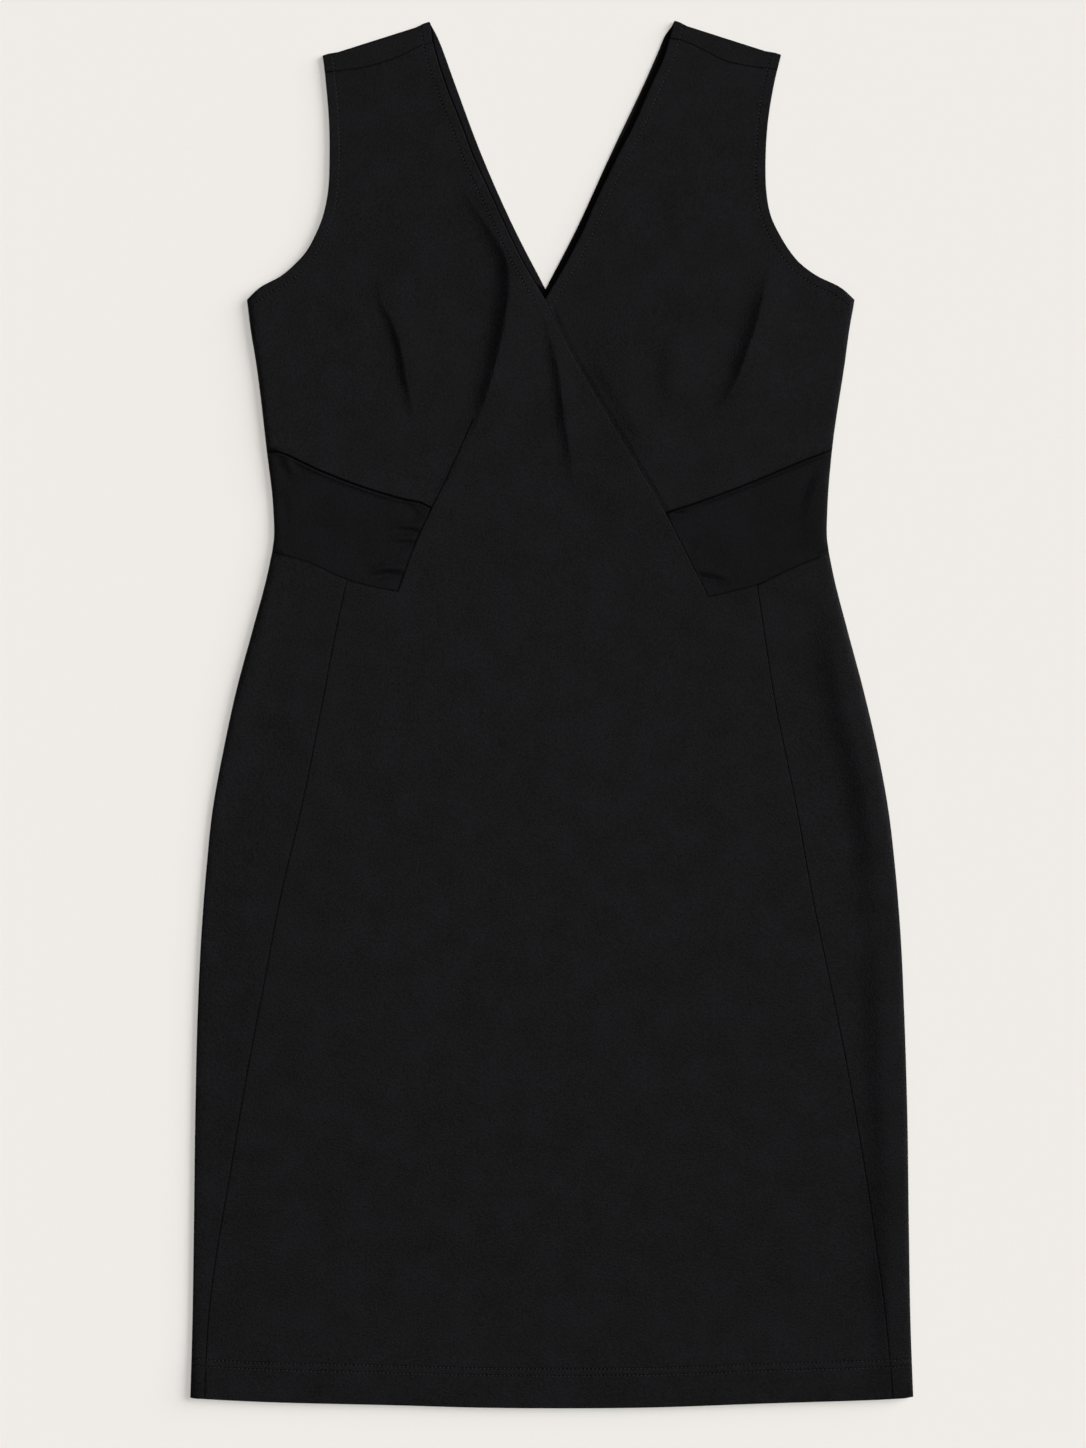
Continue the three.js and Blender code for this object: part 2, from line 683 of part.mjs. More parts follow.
const knit = new THREE.MeshStandardMaterial({ color: 0x1a1a1c, roughness: 0.92, metalness: 0 });
const insetKnit = new THREE.MeshStandardMaterial({ color: 0x171719, roughness: 0.85, metalness: 0 });

const frontCloth = wall(frontDowns, {
  columns: FRONT_COLUMNS,
  flat: onFront(wrapHeight),
  roll: frontRoll(wrapHeight),
});

const pieces = {
  back_panel: [backPanel(), knit],
  wrap_front: [wrapFront(frontCloth), knit],
  under_bodice: [underBodice(), knit],
  waist_inset_right: [waistInset('right'), insetKnit],
  waist_inset_left: [waistInset('left'), insetKnit],
  side_front_right: [sideFront(frontCloth, 'right'), knit],
  side_front_left: [sideFront(frontCloth, 'left'), knit],
};

const dress = new THREE.Group();
for (const [name, [piece, material]] of Object.entries(pieces)) {
  const { vertProperties, triVerts } = piece.getMesh();
  const geometry = new THREE.BufferGeometry();
  geometry.setAttribute('position', new THREE.BufferAttribute(vertProperties, 3));
  geometry.setIndex(new THREE.BufferAttribute(triVerts, 1));
  geometry.computeVertexNormals();
  const mesh = new THREE.Mesh(geometry, material);
  mesh.name = name;
  dress.add(mesh);
}

export default dress;
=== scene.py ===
"""A sleeveless sheath dress in firm black knit, laid flat with its front up and seen from straight above.

Sizes are in millimetres, as a maker measures the dress: across from the centre line, with the wearer's left
positive, and down from the highest point of the shoulder. Meshes are scaled to metres when they are finished.
"""

import logging
import math
from dataclasses import dataclass, field
from enum import Enum
from typing import Callable, Sequence

import bmesh
import bpy
import numpy as np
from mathutils import Matrix, Vector


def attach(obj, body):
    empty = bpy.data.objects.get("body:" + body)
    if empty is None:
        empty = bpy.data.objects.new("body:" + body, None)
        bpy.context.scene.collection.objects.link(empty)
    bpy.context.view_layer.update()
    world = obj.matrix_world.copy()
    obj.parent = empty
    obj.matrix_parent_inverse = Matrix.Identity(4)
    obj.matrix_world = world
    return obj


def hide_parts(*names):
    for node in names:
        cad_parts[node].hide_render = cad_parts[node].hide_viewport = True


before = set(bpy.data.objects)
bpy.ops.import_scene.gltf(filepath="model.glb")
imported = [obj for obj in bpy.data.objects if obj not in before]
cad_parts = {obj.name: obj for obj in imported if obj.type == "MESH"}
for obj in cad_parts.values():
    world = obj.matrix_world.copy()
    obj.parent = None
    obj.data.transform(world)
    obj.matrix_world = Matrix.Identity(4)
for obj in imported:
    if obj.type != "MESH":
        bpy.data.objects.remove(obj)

log = logging.getLogger("dress")

MM = 0.001
BODY = "root"
LENGTH = 1000.0
HALF = LENGTH / 2
CLOTH = 1.1
STRAP_GAP = 0.8
STRAP_HEIGHT = 2 * CLOTH + STRAP_GAP
LAP_GAP = 0.6
LAP = CLOTH + LAP_GAP
SEAM_HEIGHT = 2.55
TUCK_UNDER = 12.0
TURNED_BAND = 7.0
HEM_DEPTH = 27.0
HEM_ROWS = (23.4, 28.4)
OUTSIDE = 320.0
WELL_PAST = 48.0
FAR = 1000.0
TINY = 1e-9
PARALLEL = 1e-12

Array = np.ndarray
Line = Array
Places = Sequence[tuple[float, float]]
Mesh = bmesh.types.BMesh
Object = bpy.types.Object
Material = bpy.types.Material
Socket = bpy.types.NodeSocket
NodeTree = bpy.types.ShaderNodeTree


class Side(Enum):
    """The wearer's two sides, with the sign of their places across."""

    RIGHT = -1
    LEFT = 1


class Edge(Enum):
    """How an edge of a cut piece is finished."""

    SEWN = "sewn into a seam"
    TURNED = "turned in and topstitched"
    LAPPED = "turned in, with no stitches that show"
    OVERHUNG = "sewn in under its neighbour"
    HEM = "turned hem"
    SIDE = "side seam, on the rolled side"
    DART = "sewn dart"
    HIDDEN = "under another piece"


Run = tuple[Line, Edge]
Distances = dict[Edge, Array]


@dataclass(frozen=True)
class Row:
    """A row of a table with one place for each side of the dress.

    Args:
        at: Distance down, or across on a line that runs across.
        right: Distance on the wearer's right.
        left: Distance on the wearer's left.
    """

    at: float
    right: float
    left: float

    def on(self, side: Side) -> float:
        """The distance on one side."""
        return self.right if side is Side.RIGHT else self.left


SIDE_FOLD = (
    Row(201, 219.6, 218.6), Row(222, 217.0, 214.9), Row(244, 213.4, 211.9), Row(309, 205.4, 202.4),
    Row(352, 200.6, 199.0), Row(374, 200.2, 198.8), Row(396, 204.2, 202.6), Row(439, 215.5, 213.4),
    Row(482, 227.1, 224.9), Row(525, 236.4, 234.9), Row(569, 244.4, 243.0), Row(612, 248.9, 248.0),
    Row(656, 252.3, 251.6), Row(720, 255.3, 254.6), Row(786, 256.8, 256.6), Row(872, 257.9, 257.8),
    Row(937, 258.9, 258.9), Row(1005, 260.8, 261.4),
)
ARMHOLE = (
    Row(25, 164.8, 165.3), Row(45, 162.6, 160.6), Row(71, 160.5, 156.3), Row(97, 160.0, 154.5),
    Row(122, 161.0, 154.9), Row(140, 164.6, 158.0), Row(153, 169.6, 163.9), Row(166, 176.6, 171.8),
    Row(175, 184.5, 179.4), Row(184, 195.0, 191.6), Row(192, 209.6, 207.8), Row(201, 219.6, 218.6),
)
FRONT_NECK = (
    Row(2, 87.2, 87.8), Row(16, 85.6, 84.4), Row(28, 82.4, 80.4), Row(47, 76.2, 71.6), Row(76, 64.8, 58.9),
    Row(97, 57.0, 48.0), Row(131, 41.3, 31.6), Row(150, 32.7, 23.4), Row(176, 19.8, 10.1), Row(201, 4.8, -4.6),
)
BACK_NECK = (
    Row(2, 87.2, 87.8), Row(10, 82.8, 82.0), Row(19, 79.0, 78.2), Row(45, 69.6, 66.8), Row(97, 50.1, 42.2),
    Row(149, 27.0, 18.4), Row(193, 4.3, -4.3),
)
SHOULDER_FOLD = (Row(87.5, 1.0, 0.0), Row(165, 25.6, 24.8))
SHOULDER_SEAM = (
    Row(86, 15.6, 12.6), Row(95, 18.0, 14.4), Row(108, 24.6, 20.2), Row(125, 30.8, 28.6), Row(141, 34.4, 32.3),
    Row(163, 37.0, 35.2),
)
PRINCESS = (
    Row(437, 154.9, 152.6), Row(490, 165.0, 160.8), Row(560, 178.8, 175.1), Row(634, 196.0, 188.5),
    Row(692, 206.9, 200.5), Row(752, 218.4, 212.6), Row(833, 232.1, 226.6), Row(884, 240.8, 233.9),
    Row(934, 247.3, 240.5), Row(1006, 250.4, 247.0),
)
WRAP_EDGE: Places = ((-4.8, 201), (10.1, 232), (29.2, 266), (53.4, 306.7), (81.9, 354.5))
INSET_INNER: dict[Side, Places] = {
    Side.RIGHT: ((-86.3, 350.9), (-99.5, 380.2), (-110.6, 411.2)),
    Side.LEFT: ((81.9, 354.5), (93.9, 377.6), (104.1, 397.8), (113.3, 415.4)),
}
INSET_TOP: dict[Side, Places] = {
    Side.RIGHT: (
        (-212, 311), (-199, 310), (-166, 324.2), (-138, 335), (-107, 344.4), (-90.4, 347.9), (-86.3, 350.9),
    ),
    Side.LEFT: ((212, 305), (179.4, 317.7), (137.5, 335), (107.2, 346.2), (81.9, 354.5)),
}
INSET_BOTTOM: dict[Side, Places] = {
    Side.RIGHT: ((-212, 381), (-176.8, 389.9), (-147.6, 402.9), (-121.7, 409.4), (-110.6, 411.2)),
    Side.LEFT: ((212, 379.5), (170.8, 395.7), (148, 406.8), (136.1, 409.8), (113.3, 415.4)),
}
PRINCESS_ROW = 2
HEM_LINE: Places = (
    (-266, 992.6), (-204, 995.6), (-114, 997.8), (-42, 999.7),
    (64, 999.6), (150, 996.7), (246, 993.4), (266, 991.8),
)
DART: Places = ((-56.7, 287.4), (-73, 323.9), (-86.3, 350.9))


@dataclass(frozen=True)
class Fold:
    """A trough of the laid cloth, or a ridge where its depth is negative.

    Args:
        path: Places along it, across and down.
        depth: How deep it is in the middle of its length.
        width: How far its slope reaches on the wearer's right of the path, looking down the dress.
        other: The same on the wearer's left.
        start: The share of its length over which it deepens from its upper end.
        end: The share over which it fades to its lower end.
        ridge: How high the crest of a sharp fold stands, on the wearer's left of its trough.
        step: Within this distance a sharp fold climbs from its trough to that crest.
        lean: The crest stands this far to the wearer's left of the path.
        foot: How softly the climb starts, from 1.
    """

    path: Places
    depth: float
    width: float
    other: float
    start: float = 0.35
    end: float = 0.3
    ridge: float = 0.0
    step: float = 0.0
    lean: float = 2.0
    foot: float = 2.5

    def sharp(self) -> bool:
        """Whether the cloth climbs steeply on one side."""
        return self.step > 0

    def fall(self, apart: Array, along: Array) -> Array:
        """How far the fold lowers points.

        Args:
            apart: Their distance from its path, positive on the wearer's left.
            along: The share of its length before them.

        Returns:
            A depth for each point.
        """
        fade = ramp(along, 0, self.start) * ramp(1 - along, 0, self.end)
        off = apart - self.lean * self.sharp()
        bell = np.exp(-((off / np.where(off > 0, self.other, self.width)) ** 2))
        if not self.sharp():
            return fade * self.depth * bell
        climb = (self.depth + self.ridge) * np.clip(1 + off / self.step, 0, 1) ** self.foot
        return fade * np.where(off < 0, self.depth * bell - climb, -self.ridge * bell)


BODICE_FOLDS = (
    Fold(
        ((-71.8, 98), (-61.7, 128.5), (-48.7, 148), (-39.5, 162.5), (-34.5, 174.7), (-33.2, 193.5),
         (-35.2, 211.5), (-39.2, 233.2), (-47.8, 266.4), (-56, 290), (-66, 312)),
        1.4, 22, 22, 0.45, 0.3, 3.4, 16.0,
    ),
    Fold(((-84, 70), (-70, 100), (-56, 132), (-44, 160)), 0.5, 15, 13),
    Fold(
        ((-128, 176), (-124.5, 203), (-117.5, 216.6), (-111.5, 233.9), (-109, 248.4), (-105.4, 265.7),
         (-101.6, 287.4), (-99.4, 302)),
        1.0, 14, 16, 0.5, 0.45, 1.9, 9.0,
    ),
    Fold(
        ((-8, 208), (-6, 220), (-0.4, 238.3), (3.8, 259.9), (6.6, 284.5), (9.6, 302.5), (12, 322.7), (16, 350)),
        0.9, 14, 12, 0.3, 0.5, 1.7, 11.0,
    ),
    Fold(
        ((160, 166), (152, 190), (146.9, 213), (139, 237.5), (131, 259.2), (120.2, 278), (110, 295)),
        1.4, 22, 20, 0.45, 0.45, 3.4, 18.0,
    ),
    Fold(((88, 222), (87, 244), (87, 262), (91, 288)), -2.2, 9, 24, 0.4, 0.4),
    Fold(((20, 220), (31, 238), (48, 267), (68, 303), (84, 332)), -1.7, 8, 22, 0.35, 0.4),
    Fold(((-130, 60), (-127, 78), (-129, 100)), 0.4, 10, 10),
    Fold(((-64, 300), (-80, 330), (-96, 352)), 0.9, 22, 4, 0.4, 0.3),
)
SKIRT_FOLDS = (
    Fold(((196, 415), (202, 432), (212, 490), (229, 562), (236, 655)), -3.0, 12, 14, 0.2, 0.35),
    Fold(((236, 600), (238.5, 706), (243.5, 850), (247, 996)), -2.4, 12, 14, 0.35, 0.08),
    Fold(
        ((176, 420), (190, 490), (208, 562), (216, 640), (219, 706), (225, 850), (228, 990)),
        1.2, 28, 14, 0.2, 0.15,
    ),
    Fold(((-38, 905), (-34, 950), (-30, 990)), 0.9, 26, 22, 0.5, 0.2),
    Fold(((-178, 430), (-196, 480), (-206, 540)), 0.6, 18, 14),
    Fold(((-205, 470), (-243, 620), (-252, 780), (-255, 990)), 1.7, 20, 30, 0.2, 0.1),
)
UNDER_WRAP = Fold(
    ((-1, 201), (10.1, 230), (29.2, 264), (53.4, 304.7), (81.9, 352.5), (90, 366)),
    0.7, 6, 4, 0.05, 0.05, 0.1, 3.0, 2.4, 1.5,
)


def place(across: float, down: float) -> tuple[float, float]:
    """A place on the dress as x and y."""
    return (across, HALF - down)


def smooth(points: Sequence[tuple[float, float]], steps: int = 8) -> Line:
    """A smooth line through a few points, by centripetal interpolation.

    Args:
        points: The points, as x and y.
        steps: How many steps there are between two points.

    Returns:
        The line's points, one a row.
    """
    p = np.array(points, dtype=float)
    p = np.vstack([2 * p[0] - p[1], p, 2 * p[-1] - p[-2]])
    out = []
    for a, b, c, d in zip(p[:-3], p[1:-2], p[2:-1], p[3:]):
        ab, bc, cd = (math.sqrt(max(np.linalg.norm(q - r), TINY)) for q, r in ((a, b), (b, c), (c, d)))
        start = ((b - a) / ab - (c - a) / (ab + bc) + (c - b) / bc) * bc
        end = ((c - b) / bc - (d - b) / (bc + cd) + (d - c) / cd) * bc
        t = (np.arange(steps) / steps)[:, None]
        cubic = (2 * b - 2 * c + start + end) * t**3 + (3 * c - 3 * b - 2 * start - end) * t**2
        out.append(cubic + start * t + b)
    return np.vstack([*out, p[-2]])


def seam(places: Places) -> Line:
    """The smooth line through places given across and down."""
    return smooth([place(*at) for at in places])


def down_line(rows: Sequence[Row], side: Side) -> Line:
    """A line that runs down one side of the dress, from its table."""
    return smooth([place(side.value * row.on(side), row.at) for row in rows])


def cross_line(rows: Sequence[Row], side: Side) -> Line:
    """A line that runs across one side of the dress, from its table."""
    return smooth([place(side.value * row.at, row.on(side)) for row in rows])


def lengths_along(line: Line) -> Array:
    """The length of a line before each of its points."""
    return np.r_[0, np.cumsum(np.linalg.norm(np.diff(line, axis=0), axis=1))]


def points_at(line: Line, at: Array) -> Line:
    """The points of a line that have these lengths before them."""
    lengths = lengths_along(line)
    return np.c_[np.interp(at, lengths, line[:, 0]), np.interp(at, lengths, line[:, 1])]


def even(line: Line, step: float) -> Line:
    """The same line with its points evenly spread, about a step apart."""
    total = lengths_along(line)[-1]
    return points_at(line, np.linspace(0, total, max(2, int(round(total / step)) + 1)))


def lengthen(line: Line, extra: float) -> Line:
    """The same line, carried straight on at both ends.

    Args:
        line: The line.
        extra: How far it is carried on.

    Returns:
        The longer line.
    """
    first = line[0] + (line[0] - line[1]) / np.linalg.norm(line[0] - line[1]) * extra
    last = line[-1] + (line[-1] - line[-2]) / np.linalg.norm(line[-1] - line[-2]) * extra
    return np.vstack([first, line, last])


def beside(line: Line, distance: float) -> Line:
    """A line moved sideways.

    Args:
        line: The line.
        distance: How far, positive to the left of its direction of travel.

    Returns:
        The moved line.
    """
    along = np.gradient(line, axis=0)
    along /= np.linalg.norm(along, axis=1)[:, None]
    return line + np.c_[-along[:, 1], along[:, 0]] * distance


def split(line: Line, other: Line) -> tuple[Line, Line]:
    """Cuts a line where it first crosses another.

    Args:
        line: The line to cut.
        other: The line that it crosses.

    Returns:
        The stretch before the crossing and the stretch after it, which share the crossing point.
    """
    for i, (a, b) in enumerate(zip(line[:-1], line[1:])):
        reach = b - a
        starts = other[:-1]
        runs = np.diff(other, axis=0)
        cross = reach[0] * runs[:, 1] - reach[1] * runs[:, 0]
        cross = np.where(np.abs(cross) < PARALLEL, PARALLEL, cross)
        gap = starts - a
        t = (gap[:, 0] * runs[:, 1] - gap[:, 1] * runs[:, 0]) / cross
        s = (gap[:, 0] * reach[1] - gap[:, 1] * reach[0]) / cross
        hit = np.nonzero((t >= 0) & (t <= 1) & (s >= 0) & (s <= 1))[0]
        if len(hit):
            point = a + reach * t[hit[0]]
            return np.vstack([line[: i + 1], point]), np.vstack([point, line[i + 1:]])
    raise ValueError("the lines do not cross")


def ramp(value: Array, start: float, end: float) -> Array:
    """Rises smoothly from 0 at the start to 1 at the end."""
    t = np.clip((value - start) / (end - start), 0, 1)
    return t * t * (3 - 2 * t)


def within(distance: Array, reach: float, inner: float, outer: float) -> Array:
    """1 nearer than a reach and 0 past it, blended from a distance inside it to one outside it."""
    return 1 - ramp(distance, reach - inner, reach + outer)


def nearest(line: Line, points: Array) -> tuple[Array, Array]:
    """How points lie to a line.

    Args:
        line: The line.
        points: The points, one a row.

    Returns:
        Each point's distance, positive on the line's left, and the share of its length before the point.
    """
    best = np.full(len(points), np.inf)
    along = np.zeros(len(points))
    sign = np.ones(len(points))
    lengths = np.linalg.norm(np.diff(line, axis=0), axis=1)
    total = max(lengths.sum(), TINY)
    done = 0.0
    for a, b, length in zip(line[:-1], line[1:], lengths):
        if length < TINY:
            continue
        reach = (b - a) / length
        gap = points - a
        t = np.clip(gap @ reach, 0, length)
        apart = np.hypot(gap[:, 0] - t * reach[0], gap[:, 1] - t * reach[1])
        closer = apart < best
        best = np.where(closer, apart, best)
        along = np.where(closer, (done + t) / total, along)
        turn = reach[0] * gap[:, 1] - reach[1] * gap[:, 0]
        sign = np.where(closer, np.where(turn >= 0, 1.0, -1.0), sign)
        done += length
    return best * sign, along


def half_width(side: Array, down: Array) -> Array:
    """The half width to the side fold, smoothly interpolated in its table.

    Args:
        side: Negative on the wearer's right.
        down: Distance down from the shoulder.

    Returns:
        The distance from the centre line.
    """
    at = np.array([row.at for row in SIDE_FOLD])
    out = np.zeros_like(down)
    for which in Side:
        values = np.array([row.on(which) for row in SIDE_FOLD])
        slopes = np.gradient(values, at)
        slopes[0] = slopes[1]
        i = np.clip(np.searchsorted(at, down) - 1, 0, len(at) - 2)
        span = at[i + 1] - at[i]
        t = np.clip((down - at[i]) / span, 0, 1)
        ease = t * t * (3 - 2 * t)
        bend = span * t * (1 - t) * ((1 - t) * slopes[i] - t * slopes[i + 1])
        value = values[i] * (1 - ease) + values[i + 1] * ease + bend
        out = np.where((side < 0) == (which is Side.RIGHT), value, out)
    return out


@dataclass(frozen=True)
class Roll:
    """The quarter turn of cloth down each side of the dress.

    Args:
        width: How far out it reaches from where the cloth stops lying flat.
        rise: How high it climbs.
        steps: How finely its arc is measured.
        hem_fade: How far before it the hem starts to thin to single cloth.
    """

    width: float = 5.0
    rise: float = 2.6
    steps: int = 60
    hem_fade: float = 4.0

    def measured(self) -> tuple[Array, Array]:
        """Measures the arc from the top of the turn down to the side seam.

        Returns:
            Angles, and the length of cloth before each.
        """
        angle = np.linspace(math.pi / 2, 0, self.steps)
        run = np.hypot(np.diff(self.width * np.cos(angle)), np.diff(self.rise * np.sin(angle)))
        return angle, np.r_[0, np.cumsum(run)]

    def arc(self) -> float:
        """The length of cloth in the turn."""
        return float(self.measured()[1][-1])

    def angle(self, reach: Array) -> Array:
        """The angle at a length of cloth past the flat."""
        angle, length = self.measured()
        return np.interp(reach, length, angle)

    def hem_left(self, reach: Array) -> Array:
        """The share of the hem's doubling that is left, at a length of cloth past the flat."""
        return 1 - ramp(reach, -self.hem_fade, 0)

    def flat_end(self, points: Array) -> Array:
        """The distance across at which the cloth stops lying flat, level with each point."""
        return half_width(points[:, 0], HALF - points[:, 1]) - self.width

    def unrolled(self, points: Line) -> Line:
        """Lays out flat what lies on the turn.

        Args:
            points: A line, as seen from above.

        Returns:
            The line in the flat cloth.
        """
        angle, length = self.measured()
        across = np.abs(points[:, 0])
        flat_end = self.flat_end(points)
        share = np.clip((across - flat_end) / self.width, 0, 1)
        reach = np.interp(share, np.cos(angle), length)
        out = points.copy()
        out[:, 0] = np.sign(points[:, 0]) * np.where(across > flat_end, flat_end + reach, across)
        return out


ROLL = Roll()


@dataclass(frozen=True)
class HemShape:
    """The hem's curve, which the cut pieces are straightened by before they are meshed.

    Args:
        places: Its lower edge.
        level: The straightened edge, as y.
        fade_start: The straightening is full up to this y.
        fade_end: And it has faded out at this one.
    """

    places: Places = HEM_LINE
    level: float = -499.6
    fade_start: float = -400.0
    fade_end: float = -280.0

    def rise(self, points: Array) -> Array:
        """How far the hem's curve moves points.

        Args:
            points: Places as x and y.

        Returns:
            A distance up for each place.
        """
        line = seam(self.places)
        off = np.interp(points[:, 0], line[:, 0], line[:, 1]) - self.level
        return off * (1 - ramp(points[:, 1], self.fade_start, self.fade_end))

    def straight(self, points: Array) -> Array:
        """Points with the hem's curve taken out."""
        return np.c_[points[:, 0], points[:, 1] - self.rise(points)]

    def curved(self, points: Array) -> Array:
        """Points with the hem's curve put back."""
        return np.c_[points[:, 0], points[:, 1] + self.rise(points)]

    def edge(self) -> Line:
        """The straightened edge, past both sides of the dress."""
        return np.array([(-OUTSIDE, self.level), (OUTSIDE, self.level)])


HEM = HemShape()


@dataclass(frozen=True)
class Drafting:
    """The lines that the pieces are cut along, in flat cloth.

    Args:
        corner_reach: How far lines run past a corner, so that they cross.
        side_points: How many points a side seam has.
    """

    corner_reach: float = 8.0
    side_points: int = 320

    def shoulder_seam(self, side: Side) -> Line:
        """The forward shoulder seam, from the neck to the armhole and a little past both."""
        return lengthen(cross_line(SHOULDER_SEAM, side), self.corner_reach)

    def across_strap(self, side: Side) -> Line:
        """The forward shoulder seam, from the front's neck edge to its armhole."""
        return self.stretch(self.shoulder_seam(side), down_line(FRONT_NECK, side), down_line(ARMHOLE, side))

    def armhole(self, side: Side) -> Line:
        """The armhole edge, from the shoulder fold to the underarm."""
        return ROLL.unrolled(down_line(ARMHOLE, side))

    def side(self, side: Side) -> Line:
        """The side seam from the underarm to the hem, with the rolled cloth laid out flat.

        Args:
            side: The side of the dress.

        Returns:
            The seam.
        """
        down = np.linspace(SIDE_FOLD[0].at, LENGTH + 2 * self.corner_reach, self.side_points)
        across = half_width(np.full_like(down, side.value), down) - ROLL.width + ROLL.arc()
        return HEM.straight(np.c_[side.value * across, HALF - down])

    def princess(self, side: Side) -> Line:
        """The princess seam, from the lower inset seam to past the hem.

        Args:
            side: The side of the dress.

        Returns:
            The seam.
        """
        start = INSET_BOTTOM[side][PRINCESS_ROW]
        rows = [(side.value * row.on(side), row.at) for row in PRINCESS]
        return HEM.straight(seam([start, *rows]))

    def to_hem(self, line: Line) -> Line:
        """A line that runs down, ended at the hem."""
        return split(line, HEM.edge())[0]

    def inset_bottom(self, side: Side) -> tuple[Line, Line]:
        """The lower inset seam.

        Args:
            side: The side of the dress.

        Returns:
            Its stretch outside the princess seam, and the one inside it.
        """
        whole = seam(INSET_BOTTOM[side])
        at = int(np.argmin(np.linalg.norm(whole - place(*INSET_BOTTOM[side][PRINCESS_ROW]), axis=1)))
        return whole[: at + 1], whole[at:]

    def inset_inner(self, side: Side) -> Line:
        """The inner seam of an inset, downwards."""
        return seam(INSET_INNER[side])

    def stretch(self, line: Line, first: Line, last: Line) -> Line:
        """The stretch of a line between its crossings with two others."""
        return split(split(line, first)[1], last)[0]


DRAFT = Drafting()


@dataclass(frozen=True)
class Swell:
    """A rounded rise of the laid cloth, the same on both sides of the dress.

    Args:
        across: Where its middle is.
        down: Where its middle is, down the dress.
        rise: Its height.
        width: From its middle to where it has fallen to about a third, across.
        length: The same, down the dress.
    """

    across: float = 98.0
    down: float = 232.0
    rise: float = 1.2
    width: float = 62.0
    length: float = 66.0

    def height(self, across: Array, down: Array) -> Array:
        """How far it lifts points."""
        away = ((across - self.across) / self.width) ** 2 + ((down - self.down) / self.length) ** 2
        return self.rise * np.exp(-away)


@dataclass(frozen=True)
class LaidFront:
    """How high the laid front stands above the surface.

    Args:
        strap: Height on the straps.
        body: Height on the body.
        roll: Height along the side folds.
        hem: Height on the double hem.
        lowest: Where the front lies on the back.
        soft: How softly it comes to lie there.
        roll_fade: How far in from a side fold its height is felt.
        straps_end: Down from the shoulder, where the straps swell into the bodice.
        body_start: And where the bodice has its full height.
        hem_swell: The hem's thickness lifts the skirt this far above it.
        hem_troughs: The share of a fold's depth that is left in the hem.
        lap_hold: The wrap keeps its full lift this far in.
        lap_fade: And comes down to the back again at this distance.
        lap_start: Its lift starts to fade this far below the wrap's edge.
        lap_end: And is gone at this distance.
        fold_reach: How far a fold is felt, as a multiple of its width.
        bust: The rise over the bust.
    """

    strap: float = STRAP_HEIGHT
    body: float = 3.9
    roll: float = 5.3
    hem: float = 4.9
    lowest: float = 2.5
    soft: float = 0.4
    roll_fade: float = 34.0
    straps_end: float = 60.0
    body_start: float = 205.0
    hem_swell: float = 60.0
    hem_troughs: float = 0.6
    lap_hold: float = 15.0
    lap_fade: float = 56.0
    lap_start: float = 2.0
    lap_end: float = 40.0
    fold_reach: float = 3.0
    bust: Swell = Swell()

    def troughs(self, points: Array, folds: Sequence[Fold]) -> Array:
        """How far folds lower the front.

        Args:
            points: Places as x and y.
            folds: The folds.

        Returns:
            A depth for each place.
        """
        total = np.zeros(len(points))
        for fold in folds:
            line = seam(fold.path)
            near = close_to(line, points, self.fold_reach * max(fold.width, fold.other))
            apart, along = nearest(line, points[near])
            total[near] += fold.fall(apart, along)
        return total

    def height(self, points: Array, folds: Sequence[Fold]) -> Array:
        """Height of the upper face of the front.

        Args:
            points: Places as x and y.
            folds: The folds that are felt there.

        Returns:
            A height for each place.
        """
        across, down = np.abs(points[:, 0]), HALF - points[:, 1]
        troughs = self.troughs(points, folds)
        from_roll = ROLL.flat_end(points) - across
        body = self.body + (self.roll - self.body) * np.exp(-np.maximum(from_roll, 0) / self.roll_fade)
        in_body = ramp(down, self.straps_end, self.body_start)
        level = self.strap + (body - self.strap) * in_body + self.bust.height(across, down) - troughs
        near_hem = ramp(down, LENGTH - HEM_DEPTH - self.hem_swell, LENGTH - HEM_DEPTH)
        level = level + (self.hem - troughs * self.hem_troughs - level) * near_hem
        return self.lowest + self.soft * np.logaddexp(0, (level - self.lowest) / self.soft)

    def lap(self, points: Array) -> Array:
        """How far the wrap is lifted by the bodice under its free edge.

        Args:
            points: Places as x and y.

        Returns:
            A height for each place.
        """
        line = np.vstack([seam(WRAP_EDGE), DRAFT.inset_inner(Side.LEFT)[1:]])
        apart, _ = nearest(line, points)
        end = WRAP_EDGE[-1][1]
        along = 1 - ramp(HALF - points[:, 1], end + self.lap_start, end + self.lap_end)
        return LAP * along * (1 - ramp(np.abs(apart), self.lap_hold, self.lap_fade))


FRONT = LaidFront()


